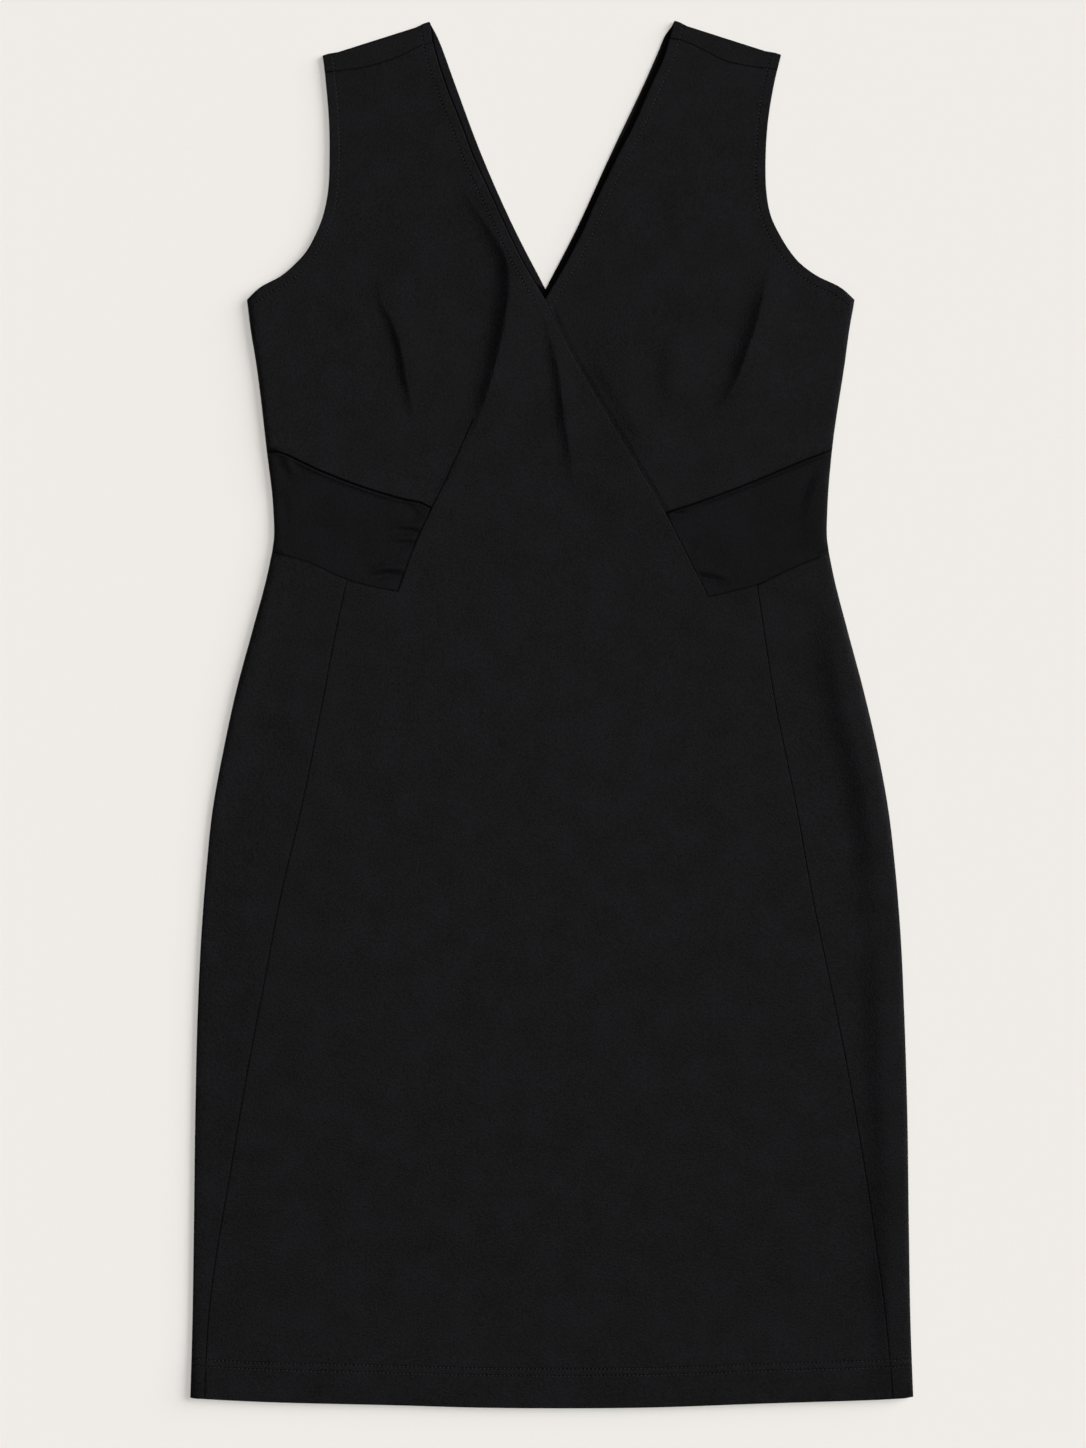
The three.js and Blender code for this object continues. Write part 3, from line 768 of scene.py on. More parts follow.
@dataclass(frozen=True)
class Weave:
    """How finely a piece is meshed.

    Args:
        cell: The size of its cells.
        rings: Distances in from its outline at which rings of cells lie.
        outline: Between two points of the outline.
        corner: From a corner of the outline to the next point.
        shortest: A run shorter than this keeps its points.
        offset: From the outline's lowest point to the first cut, as a share of a cell.
    """

    cell: float = 4.0
    rings: tuple[float, ...] = (0.1, 0.25, 0.5, 0.9, 1.6, 2.7, 4.2)
    outline: float = 3.6
    corner: float = 9.0
    shortest: float = 1.0
    offset: float = 0.37

    def spaced(self, line: Line) -> Line:
        """Spreads out the points of a run of the outline as they are meshed.

        Args:
            line: The run.

        Returns:
            Its new points.
        """
        total = lengths_along(line)[-1]
        if total < self.shortest:
            return line
        if total < 2 * self.corner:
            return points_at(line, np.array([0, total / 2, total]))
        count = max(2, int(round((total - 2 * self.corner) / self.outline)) + 1)
        return points_at(line, np.r_[0, np.linspace(self.corner, total - self.corner, count), total])

    def levels(self, low: float, high: float, fine: Sequence[float] = ()) -> list[float]:
        """Where the cuts between cells lie.

        Args:
            low: The first cut.
            high: The end of the cloth.
            fine: Cuts that take the place of those close to them.

        Returns:
            The cuts, in order.
        """
        even_cuts = np.arange(low, high, self.cell)
        plain = [at for at in even_cuts if all(abs(at - f) > self.cell / 2 for f in fine)]
        return sorted([*plain, *(f for f in fine if low < f < high)])


SNAP = 0.02
ACROSS = Vector((1, 0, 0))
UP = Vector((0, 1, 0))


def cut_cells(bm: Mesh, faces: list, normal: Vector, places: list[float]) -> list:
    """Cuts faces into cells, by halves.

    Args:
        bm: The mesh.
        faces: The faces to cut.
        normal: The direction that the cuts are spread along.
        places: Where the cuts are along it, in order.

    Returns:
        The faces of all the cells.
    """
    if not faces or not places:
        return faces
    middle = len(places) // 2
    at = places[middle]
    edges = dict.fromkeys(edge for face in faces for edge in face.edges)
    verts = dict.fromkeys(vert for face in faces for vert in face.verts)
    cut = bmesh.ops.bisect_plane(
        bm, geom=[*verts, *edges, *faces], dist=SNAP, plane_co=normal * at, plane_no=normal
    )
    found = [part for part in cut["geom"] if isinstance(part, bmesh.types.BMFace)]
    low = [face for face in found if face.calc_center_median() @ normal < at]
    high = [face for face in found if face.calc_center_median() @ normal >= at]
    return cut_cells(bm, low, normal, places[:middle]) + cut_cells(bm, high, normal, places[middle + 1:])


def draw_in(bm: Mesh, face: bmesh.types.BMFace, step: float) -> None:
    """Draws a face in by a step, with a ring of cells round it."""
    bmesh.ops.inset_region(bm, faces=[face], thickness=step, use_even_offset=True, use_boundary=True)


def area_of(outline: Line) -> float:
    """The area inside an outline, positive where it runs anticlockwise."""
    x, y = outline[:, 0], outline[:, 1]
    return float((x * np.roll(y, -1) - y * np.roll(x, -1)).sum() / 2)


def close_to(line: Line, points: Array, reach: float) -> Array:
    """Which points are in a box round a line."""
    low, high = line.min(axis=0) - reach, line.max(axis=0) + reach
    return np.nonzero(((points > low) & (points < high)).all(axis=1))[0]


def put(name: str, data: bpy.types.ID) -> Object:
    """Puts an object into the scene.

    Args:
        name: Its name.
        data: Its mesh, camera or light.

    Returns:
        The object.
    """
    obj = bpy.data.objects.new(name, data)
    bpy.context.scene.collection.objects.link(obj)
    return obj


def finished(bm: Mesh, name: str) -> Object:
    """Makes a smoothly shaded object of a mesh.

    Args:
        bm: The mesh, which is freed.
        name: The object's name.

    Returns:
        The object, in the scene.
    """
    bmesh.ops.recalc_face_normals(bm, faces=bm.faces[:])
    mesh = bpy.data.meshes.new(name)
    bm.to_mesh(mesh)
    bm.free()
    mesh.polygons.foreach_set("use_smooth", [True] * len(mesh.polygons))
    log.info("%s: %d faces", name, len(mesh.polygons))
    return put(name, mesh)


@dataclass
class CutPiece:
    """One piece of cloth: cut flat from its outline, then laid in its place on the dress.

    Args:
        name: The piece's name.
        node: The solid that it stands for.
        slot: Its material slot.
        weave: How finely it is meshed.
        fine_rows: Places of extra rows of cells across it, as y.
        closeness: How much it is trimmed all round, so that it stays clear of its neighbours.
        edge_reach: How far from an edge its distance is measured.
    """

    name: str
    node: str
    slot: str
    weave: Weave = field(default_factory=Weave)
    fine_rows: tuple[float, ...] = ()
    closeness: float = 0.13
    edge_reach: float = 40.0

    def runs(self) -> list[Run]:
        """The runs of the flat outline, in order round it."""
        raise NotImplementedError

    def lay(self, flat: Array, outer: Array, edges: Distances) -> Array:
        """Where points of the flat cloth's outer or inner face lie, from their distances to its edges."""
        raise NotImplementedError

    def outline(self) -> Line:
        """The flat outline, anticlockwise."""
        points = np.vstack([self.weave.spaced(line)[:-1] for line, _ in self.runs()])
        return points if area_of(points) > 0 else points[::-1]

    def refine(self, bm: Mesh) -> None:
        """Cuts the flat mesh more finely where the cloth will be bent."""

    def stitch_rows(self) -> list[Line]:
        """The rows of stitches on the piece, as seen from above."""
        return []

    def surface(self, points: Array) -> Array:
        """Height of the face that the stitches are on."""
        raise NotImplementedError

    def from_run(self, line: Line, flat: Array) -> tuple[Array, Array, Array]:
        """How points lie to a run of the outline.

        Args:
            line: The run.
            flat: Points of the flat cloth.

        Returns:
            Which points are near it, how far they are from it, and the share of its length before each.
        """
        near = close_to(line, flat, self.edge_reach)
        apart, along = nearest(self.weave.spaced(line), flat[near])
        return near, np.abs(apart), along

    def distances(self, flat: Array) -> Distances:
        """How far points are from the edges.

        Args:
            flat: Points of the flat cloth.

        Returns:
            The distance of each from the edges of each kind.
        """
        out = {kind: np.full(len(flat), FAR) for kind in Edge}
        for line, kind in self.runs():
            near, apart, _ = self.from_run(line, flat)
            out[kind][near] = np.minimum(out[kind][near], apart)
        return out

    def from_turned(self, flat: Array) -> Array:
        """How far points are from a turned edge, square to it.

        Args:
            flat: Points of the flat cloth.

        Returns:
            Their distances, far beyond the edge's ends.
        """
        out = np.full(len(flat), FAR)
        for line, kind in self.runs():
            if kind is Edge.TURNED:
                near, apart, along = self.from_run(line, flat)
                out[near] = np.minimum(out[near], np.where((along > 0) & (along < 1), apart, FAR))
        return out

    def outside_shade(self, flat: Array, outer: Array, edges: Distances) -> Array:
        """How far each point is outside the deep shade of a seam or an overlap."""
        return np.min([edges[kind] - reach for kind, reach in SHADE.reaches()], axis=0)

    def build(self) -> Object:
        """Cuts, meshes and lays the piece.

        Returns:
            The finished object.
        """
        bm = bmesh.new()
        outline = self.outline()
        face = bm.faces.new([bm.verts.new((x, y, 0)) for x, y in outline])
        draw_in(bm, face, self.closeness)
        bmesh.ops.delete(bm, geom=[f for f in bm.faces if f is not face], context="FACES")
        for step in np.diff([0, *self.weave.rings]):
            draw_in(bm, face, step)
        (left, low), (right, high) = outline.min(axis=0), outline.max(axis=0)
        offset = self.weave.offset * self.weave.cell
        cells = cut_cells(bm, [face], UP, self.weave.levels(low + offset, high, self.fine_rows))
        cut_cells(bm, cells, ACROSS, self.weave.levels(left + offset, right))
        self.refine(bm)
        bmesh.ops.solidify(bm, geom=bm.faces[:], thickness=CLOTH)
        at = np.array([vert.co[:] for vert in bm.verts])
        outer = at[:, 2] > at[:, 2].mean()
        flat = at[:, :2]
        edges = self.distances(flat)
        laid = self.lay(flat, outer, edges)
        for vert, co in zip(bm.verts, laid):
            vert.co = co * MM
        obj = finished(bm, self.name)
        for name, value in (
            ("from_turned", self.from_turned(flat)),
            ("from_hem", edges[Edge.HEM]),
            ("in_shade", SHADE.soft / 2 - self.outside_shade(flat, outer, edges)),
        ):
            obj.data.attributes.new(name, "FLOAT", "POINT").data.foreach_set("value", value * MM)
        return obj

    def dress(
        self,
        piece: Object,
        finish: Material,
        rests_on: Sequence[str],
        thread: Sequence[Object] = (),
    ) -> None:
        """Gives the piece its finish and its place in the frame.

        Args:
            piece: The built object.
            finish: Its material.
            rests_on: What it lies on; not used.
            thread: The stitches on it; not used.
        """
        piece.data.materials.append(finish)
        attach(piece, BODY)
        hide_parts(self.node)
        outline = self.outline()
        width, length = outline.max(axis=0) - outline.min(axis=0)
        area_of(outline) * MM * MM
        log.info("%s: cut %.0f by %.0f mm, %.4f m2", self.name, width, length, area_of(outline) * MM * MM)


@dataclass(frozen=True)
class Shade:
    """The dark lines where light does not reach, as distances from an edge.

    Args:
        sewn: In a seam.
        dart: In a dart.
        overhung: Under an overhung edge.
        lap: Beside the wrap.
        neck_right: On the back, beside the front's neck edge on the wearer's right.
        neck_left: The same on the wearer's left.
        soft: The blur at its border.
    """

    sewn: float = 0.3
    dart: float = 0.4
    overhung: float = 1.1
    lap: float = 0.5
    neck_right: float = 1.4
    neck_left: float = 4.2
    soft: float = 0.4

    def reaches(self) -> tuple[tuple[Edge, float], ...]:
        """How far the shade reaches from the edges of each kind."""
        return (Edge.SEWN, self.sewn), (Edge.DART, self.dart), (Edge.OVERHUNG, self.overhung)

    def neck(self, side: Side) -> float:
        """How far it reaches on the back at one side of the neck."""
        return self.neck_right if side is Side.RIGHT else self.neck_left


SHADE = Shade()


def quarter(distance: Array, radius: float) -> Array:
    """How far a rounded edge has fallen, as a share of its radius, from 1 at the edge to 0 past the radius."""
    t = np.clip(1 - distance / radius, 0, 1)
    return 1 - np.sqrt(1 - t * t)


@dataclass(frozen=True)
class Overhang:
    """How an edge that is sewn in under its neighbour drops away, with a ridge beside the drop.

    Args:
        fall: How deep the edge lies.
        ridge: How high the cloth stands beside it.
        drop_start: From the edge to where the cloth starts to climb.
        drop_end: And to where it has climbed out.
        crest: From the edge to the top of the ridge.
        spread: How far the ridge reaches from its top.
        ends: The share of both that is left at the ends of the edge.
        inner_end: Distances across between which that share grows to the whole.
        outer_end: Distances across between which it shrinks again.
    """

    fall: float = 1.6
    ridge: float = 0.8
    drop_start: float = 0.5
    drop_end: float = 1.7
    crest: float = 2.1
    spread: float = 1.1
    ends: float = 0.45
    inner_end: tuple[float, float] = (100.0, 128.0)
    outer_end: tuple[float, float] = (188.0, 202.0)

    def height(self, distance: Array, across: Array) -> Array:
        """What it adds to the upper face.

        Args:
            distance: From the edge.
            across: From the centre line.

        Returns:
            A height for each point.
        """
        inside, outside = ramp(across, *self.inner_end), ramp(across, *self.outer_end)
        middle = self.ends + (1 - self.ends) * inside * (1 - outside)
        drop = self.fall * (1 - ramp(distance, self.drop_start, self.drop_end))
        return middle * (self.ridge * np.exp(-(((distance - self.crest) / self.spread) ** 2)) - drop)


@dataclass(frozen=True)
class EdgeShape:
    """How the cloth is formed along its edges.

    Args:
        seam_fall: How deep a sewn edge is drawn in.
        seam_reach: Within this distance.
        dart_share: The share of that depth in a dart.
        allowance: How far the seam's allowance lifts the cloth beside it.
        allowance_reach: Within this distance.
        allowance_soft: How softly that lift ends.
        turned_radius: Of a turned edge's rounding.
        turned_lift: How far the turned band stands up.
        turned_depth: How much thicker than single cloth it is underneath.
        band_inner: It starts to thin this far before its stitches.
        band_outer: And has thinned this far past them, on the upper face.
        under_share: The share of the rounding on the lower face.
        hem_lift: How far the hem stands up past its stitches.
        hem_soft: How softly the hem starts.
        stitch_share: How far up the turned band's rise its stitches lie.
        overhang: The shape of an overhung edge.
    """

    seam_fall: float = 0.75
    seam_reach: float = 0.8
    dart_share: float = 0.6
    allowance: float = 0.15
    allowance_reach: float = 8.0
    allowance_soft: float = 2.0
    turned_radius: float = 0.7
    turned_lift: float = 0.25
    turned_depth: float = 0.4
    band_inner: float = 1.0
    band_outer: float = 1.5
    under_share: float = 0.8
    hem_lift: float = 0.3
    hem_soft: float = 0.9
    stitch_share: float = 0.5
    overhang: Overhang = Overhang()

    def rounded(self, distance: Array) -> Array:
        """How far a turned edge's rounding lowers points at a distance from it."""
        return self.turned_radius * quarter(distance, self.turned_radius)

    def drawn_in(self, distance: Array) -> Array:
        """How far a seam draws in points at a distance from it."""
        return self.seam_fall * quarter(distance, self.seam_reach)

    def above(self, edges: Distances) -> Array:
        """What the edges add to the upper face.

        Args:
            edges: The distance of each point from the edges of each kind.

        Returns:
            A height for each point.
        """
        sewn = np.minimum(edges[Edge.SEWN], edges[Edge.DART])
        turned = np.minimum(edges[Edge.TURNED], edges[Edge.LAPPED])
        rise = self.allowance * within(sewn, self.allowance_reach, self.allowance_soft, self.allowance_soft)
        rise += self.turned_lift * within(turned, TURNED_BAND, self.band_inner, self.band_outer)
        fall = self.drawn_in(edges[Edge.SEWN]) + self.dart_share * self.drawn_in(edges[Edge.DART])
        return rise - fall - self.rounded(turned) - self.rounded(edges[Edge.HEM])

    def below(self, edges: Distances) -> Array:
        """What they add to the lower face.

        Args:
            edges: The distance of each point from the edges of each kind.

        Returns:
            A height for each point.
        """
        turned = np.minimum(edges[Edge.TURNED], edges[Edge.LAPPED])
        band = -self.turned_depth * within(turned, TURNED_BAND, self.band_inner, self.band_inner)
        return band + self.under_share * self.rounded(turned) + self.rounded(edges[Edge.HEM])


EDGES = EdgeShape()


def hem_share(points: Array) -> Array:
    """How far each point of the straightened cloth is in the turned hem, from 0 above it to 1."""
    return within(points[:, 1], HEM.level + HEM_DEPTH, EDGES.hem_soft, EDGES.hem_soft)


@dataclass
class FrontPiece(CutPiece):
    """A piece of the front, which lies on the back and rolls down to the side seams.

    Args:
        side: The side of the dress that it is on.
        folds: The folds that are felt on it.
        lowered: How far it lies below the rest of the front.
        lapped: Whether the bodice under the wrap lifts it.
        halvings: Distances from sharp folds within which its cells are halved, and halved again.
        halving_offset: From the first cell's corner to its cut, as a share of a cell.
    """

    side: Side = Side.RIGHT
    folds: Sequence[Fold] = ()
    lowered: float = 0.0
    lapped: bool = False
    halvings: tuple[float, ...] = (15.0, 5.0)
    halving_offset: float = 0.21

    def refine(self, bm: Mesh) -> None:
        """Halves the cells beside sharp folds, and again close to them.

        Args:
            bm: The flat mesh.
        """
        lines = [seam(fold.path) for fold in self.folds if fold.sharp()]
        cell = self.weave.cell
        for reach in self.halvings if lines else ():
            faces = bm.faces[:]
            centres = np.array([face.calc_center_median()[:2] for face in faces])
            apart = np.min([np.abs(nearest(line, centres)[0]) for line in lines], axis=0)
            near = [faces[i] for i in np.nonzero(apart < reach)[0]]
            (left, low), (right, high) = centres.min(axis=0), centres.max(axis=0)
            offset = self.halving_offset * cell
            near = cut_cells(bm, near, UP, list(np.arange(low + offset, high, cell)))
            cut_cells(bm, near, ACROSS, list(np.arange(left + offset, right, cell)))
            cell /= 2

    def top(self, points: Array) -> Array:
        """Height of the upper face away from the edges, where the cloth lies flat."""
        height = FRONT.height(points, self.folds) - self.lowered
        return height + FRONT.lap(points) if self.lapped else height

    def surface(self, points: Array) -> Array:
        """Height of the upper face along the turned bands and the hem."""
        hem = hem_share(HEM.straight(points))
        return self.top(points) + EDGES.hem_lift * hem + EDGES.stitch_share * EDGES.turned_lift * (1 - hem)

    def lay(self, flat: Array, outer: Array, edges: Distances) -> Array:
        """Lays the front's cloth, with its side edges rolled down.

        Args:
            flat: Points of the flat cloth.
            outer: Whether each is on the cloth's outer face.
            edges: The distance of each from the edges of each kind.

        Returns:
            The points in space.
        """
        curved = HEM.curved(flat)
        x, y = curved[:, 0], curved[:, 1]
        flat_end = ROLL.flat_end(curved)
        reach = np.abs(x) - flat_end
        rolled = reach > 0
        sign = np.sign(x)
        inside = np.where(rolled, sign * flat_end, x)
        hem = hem_share(flat)
        height = self.top(np.c_[inside, y]) + EDGES.hem_lift * hem
        thickness = CLOTH * (1 + hem * ROLL.hem_left(reach))
        level = height + EDGES.above(edges) + EDGES.overhang.height(edges[Edge.OVERHUNG], np.abs(x))
        under = height - thickness + EDGES.below(edges)
        angle = ROLL.angle(reach)
        base = SEAM_HEIGHT + self.closeness
        drop = np.where(outer, 0, CLOTH)
        side = np.where(outer, level, height - CLOTH) - base
        width = (ROLL.width - drop) * np.cos(angle)
        z_rolled = base + side * np.sin(angle)
        z_flat = np.where(outer, level, under)
        out_x = np.where(rolled, sign * (flat_end + width), x)
        return np.c_[out_x, y, np.where(rolled, z_rolled, z_flat)]


def beside_inset(side: Side, right: float, left: float, down: float = 3.4, rise: float = 0.35) -> Fold:
    """The low ridge of the skirt below a lower inset seam, with its widths to the wearer's right and left."""
    path = [(across, at + down) for across, at in INSET_BOTTOM[side]]
    return Fold(path, -rise, right, left, start=0.3)


WRAP_FOLDS = (*BODICE_FOLDS, *SKIRT_FOLDS)
SKIRT_RIDGES = {Side.RIGHT: beside_inset(Side.RIGHT, 2.4, 3.2), Side.LEFT: beside_inset(Side.LEFT, 3.2, 2.4)}
INSET_FOLDS = {
    Side.RIGHT: (
        Fold(((-112, 344.6), (-105, 349), (-98, 356), (-94, 362)), 0.9, 2.2, 2.6),
        Fold(((-114, 367.4), (-104, 367.6), (-92, 369.6)), 1.6, 2.4, 1.5, 0.5, 0.1),
        Fold(((-117, 364.0), (-105, 363.8), (-93, 365.6)), -0.9, 1.8, 2.4, 0.4, 0.1),
        Fold(((-116, 377.2), (-105, 376.8), (-96, 376.4)), 1.4, 2.4, 1.5, 0.5, 0.1),
        Fold(((-118, 373.6), (-107, 373.0), (-97, 372.8)), -0.8, 1.8, 2.4, 0.4, 0.1),
        Fold(((-134, 402.4), (-120, 399.0), (-112, 399.0), (-103.5, 401.4)), 1.6, 2.8, 1.7, 0.45, 0.1),
        Fold(((-134, 398.0), (-120, 394.2), (-104, 396.0)), -1.1, 2.0, 2.6),
        Fold(((-195, 312), (-190, 319), (-184, 331)), -1.3, 2.4, 3.4),
        Fold(((-196, 335), (-193, 350), (-192, 365)), 0.7, 5.0, 4.0),
    ),
    Side.LEFT: (
        Fold(((80, 355.4), (90, 355.8), (103, 357.9)), 1.5, 1.6, 2.6, 0.1, 0.6),
        Fold(((96, 376.4), (101, 377.2), (106, 378.4)), 1.1, 2.2, 2.2),
        Fold(((103, 400.2), (116, 403.2), (131, 407.2)), 1.7, 1.6, 2.8, 0.15, 0.5),
        Fold(((104, 395.8), (117, 398.6), (130, 402)), -0.7, 2.2, 2.4),
        Fold(((197, 322), (191.5, 334), (187, 347), (185, 362)), -1.6, 4.5, 14.0, 0.35, 0.5),
        Fold(((194, 345), (190, 362), (193, 386)), -0.9, 9.0, 14.0, 0.4, 0.3),
    ),
}
BACK_RIDGES = (
    Fold(((-70, 250), (-30, 300), (0, 380)), -0.7, 18, 24),
    Fold(((60, 420), (40, 520), (52, 640)), -0.7, 22, 16),
    Fold(((-110, 560), (-60, 700), (-52, 840)), -0.6, 24, 18),
    Fold(((130, 720), (110, 820), (90, 930)), -0.6, 16, 24),
    Fold(((-120, 120), (-100, 170), (-60, 205)), -0.6, 14, 12),
)


def turned_rows(side: Side) -> tuple[Line, Line]:
    """The lines of the stitches inside the front's neck edge and inside the armhole, from end to end."""
    inwards = side.value * TURNED_BAND
    return beside(down_line(FRONT_NECK, side), inwards), beside(down_line(ARMHOLE, side), -inwards)


def hem_rows(first: Line, last: Line, points: int = 200) -> list[Line]:
    """The two rows of stitches in the hem.

    Args:
        first: The line that runs down to the hem where the rows start.
        last: The one where they end.
        points: How many points there are from side to side.

    Returns:
        The rows.
    """
    rows = []
    for depth in HEM_ROWS:
        level = np.linspace((-OUTSIDE, HEM.level + depth), (OUTSIDE, HEM.level + depth), points)
        rows.append(HEM.curved(DRAFT.stretch(level, first, last)))
    return rows


@dataclass
class Bodice(FrontPiece):
    """A piece of the front that reaches up to a shoulder."""

    def upper_rows(self) -> list[Line]:
        """The stitches inside the neck edge and inside the armhole, downwards from the shoulder seam."""
        return [split(row, DRAFT.shoulder_seam(self.side))[1] for row in turned_rows(self.side)]

    def neck(self) -> Line:
        """Its neck edge, downwards from the shoulder seam."""
        return split(down_line(FRONT_NECK, self.side), DRAFT.shoulder_seam(self.side))[1]

    def outer_runs(self) -> list[Run]:
        """Out along the inset, up the side, round the armhole and in along the shoulder.

        Returns:
            The runs of the outline.
        """
        side, inset = DRAFT.side(self.side), seam(INSET_TOP[self.side])
        arm = split(DRAFT.armhole(self.side), DRAFT.shoulder_seam(self.side))[1]
        return [
            (split(inset[::-1], side)[0], Edge.SEWN),
            (split(side, inset)[0][::-1], Edge.SIDE),
            (arm[::-1], Edge.TURNED),
            (DRAFT.across_strap(self.side)[::-1], Edge.SEWN),
        ]


@dataclass
class WrapFront(Bodice):
    """The wearer's right bodice and the centre of the skirt in one, with a dart above the right inset.

    Args:
        dart_half_width: Half the width of the slit that is the dart.
        dart_steps: How many points are round its end.
    """

    dart_half_width: float = 0.06
    dart_steps: int = 5

    def dart(self) -> list[Run]:
        """The sewn dart: up its inner side, round its point and down its outer side.

        Returns:
            The runs of the outline.
        """
        line = seam(DART)[::-1]
        tip = line[-1]
        along = (line[-1] - line[-2]) / np.linalg.norm(line[-1] - line[-2])
        across = np.array((-along[1], along[0]))
        angles = np.linspace(0, math.pi, self.dart_steps)
        point = [tip + self.dart_half_width * (math.sin(a) * along - math.cos(a) * across) for a in angles]
        inner = beside(line, -self.dart_half_width)
        outer = beside(line, self.dart_half_width)[::-1]
        inner[-1], outer[0] = point[0], point[-1]
        return [(inner, Edge.DART), (np.array(point), Edge.DART), (outer, Edge.DART)]

    def stitch_rows(self) -> list[Line]:
        """Inside the neck edge and the armhole, and along the hem."""
        return [*self.upper_rows(), *hem_rows(DRAFT.princess(Side.RIGHT), DRAFT.princess(Side.LEFT))]

    def runs(self) -> list[Run]:
        """From the neck down the wrap edge, round the skirt and up the wearer's right side.

        Returns:
            The runs of the outline.
        """
        right, left = Side.RIGHT, Side.LEFT
        princess = {which: DRAFT.to_hem(DRAFT.princess(which)) for which in Side}
        return [
            (self.neck(), Edge.TURNED),
            (seam(WRAP_EDGE), Edge.LAPPED),
            (DRAFT.inset_inner(left), Edge.SEWN),
            (DRAFT.inset_bottom(left)[1][::-1], Edge.SEWN),
            (princess[left], Edge.SEWN),
            (np.array([princess[left][-1], princess[right][-1]]), Edge.HEM),
            (princess[right][::-1], Edge.SEWN),
            (DRAFT.inset_bottom(right)[1], Edge.SEWN),
            (DRAFT.inset_inner(right)[::-1], Edge.SEWN),
            *self.dart(),
            *self.outer_runs(),
        ]


@dataclass
class UnderBodice(Bodice):
    """The wearer's left bodice, whose inner edge is tucked in beneath the wrap."""

    side: Side = Side.LEFT

    def outside_shade(self, flat: Array, outer: Array, edges: Distances) -> Array:
        """The wrap shades the bodice beside its edge too."""
        apart, _ = nearest(lengthen(seam(WRAP_EDGE), TUCK_UNDER), flat)
        return np.minimum(super().outside_shade(flat, outer, edges), apart - SHADE.lap)

    def stitch_rows(self) -> list[Line]:
        """Inside the neck edge down to the wrap, and inside the armhole."""
        neck, arm = self.upper_rows()
        return [split(lengthen(neck, WELL_PAST)[1:], seam(WRAP_EDGE))[0], arm]

    def runs(self) -> list[Run]:
        """From the neck down the tucked edge, out along the inset and up the wearer's left side.

        Returns:
            The runs of the outline.
        """
        neck, outer = self.neck(), self.outer_runs()
        tucked = lengthen(beside(seam(WRAP_EDGE), -TUCK_UNDER), TUCK_UNDER)[1:]
        tucked = split(tucked, lengthen(seam(INSET_TOP[self.side]), WELL_PAST))[0]
        return [
            (neck, Edge.TURNED),
            (np.array([neck[-1], tucked[0]]), Edge.HIDDEN),
            (tucked, Edge.HIDDEN),
            (np.array([tucked[-1], outer[0][0][0]]), Edge.HIDDEN),
            *outer,
        ]


@dataclass
class SideFront(FrontPiece):
    """The skirt outside a princess seam."""

    def stitch_rows(self) -> list[Line]:
        """Along the hem, from the princess seam to the rolled side.

        Returns:
            The rows.
        """
        princess, fold = DRAFT.princess(self.side), DRAFT.side(self.side)
        rolled = np.c_[fold[:, 0] - self.side.value * ROLL.arc(), fold[:, 1]]
        return hem_rows(rolled, princess) if self.side is Side.RIGHT else hem_rows(princess, rolled)

    def runs(self) -> list[Run]:
        """From the side in along the inset, down the princess seam, and up the side.

        Returns:
            The runs of the outline.
        """
        fold = DRAFT.side(self.side)
        outer = DRAFT.inset_bottom(self.side)[0]
        top = split(outer, fold)[1]
        princess = DRAFT.to_hem(DRAFT.princess(self.side))
        below = DRAFT.to_hem(split(fold, outer)[1])
        return [
            (top, Edge.SEWN),
            (princess, Edge.SEWN),
            (np.array([princess[-1], below[-1]]), Edge.HEM),
            (below[::-1], Edge.SIDE),
        ]


@dataclass
class WaistInset(FrontPiece):
    """A wedge let in at one side of the waist."""

    def runs(self) -> list[Run]:
        """From the side in along the top seam, down the inner seam and out along the lower one.

        Returns:
            The runs of the outline.
        """
        fold = DRAFT.side(self.side)
        upper = seam(INSET_TOP[self.side])
        outer, inner = DRAFT.inset_bottom(self.side)
        return [
            (split(upper, fold)[1], Edge.OVERHUNG),
            (DRAFT.inset_inner(self.side), Edge.SEWN),
            (inner[::-1], Edge.SEWN),
            (split(outer, fold)[1][::-1], Edge.SEWN),
            (DRAFT.stretch(fold, upper, outer)[::-1], Edge.SIDE),
        ]


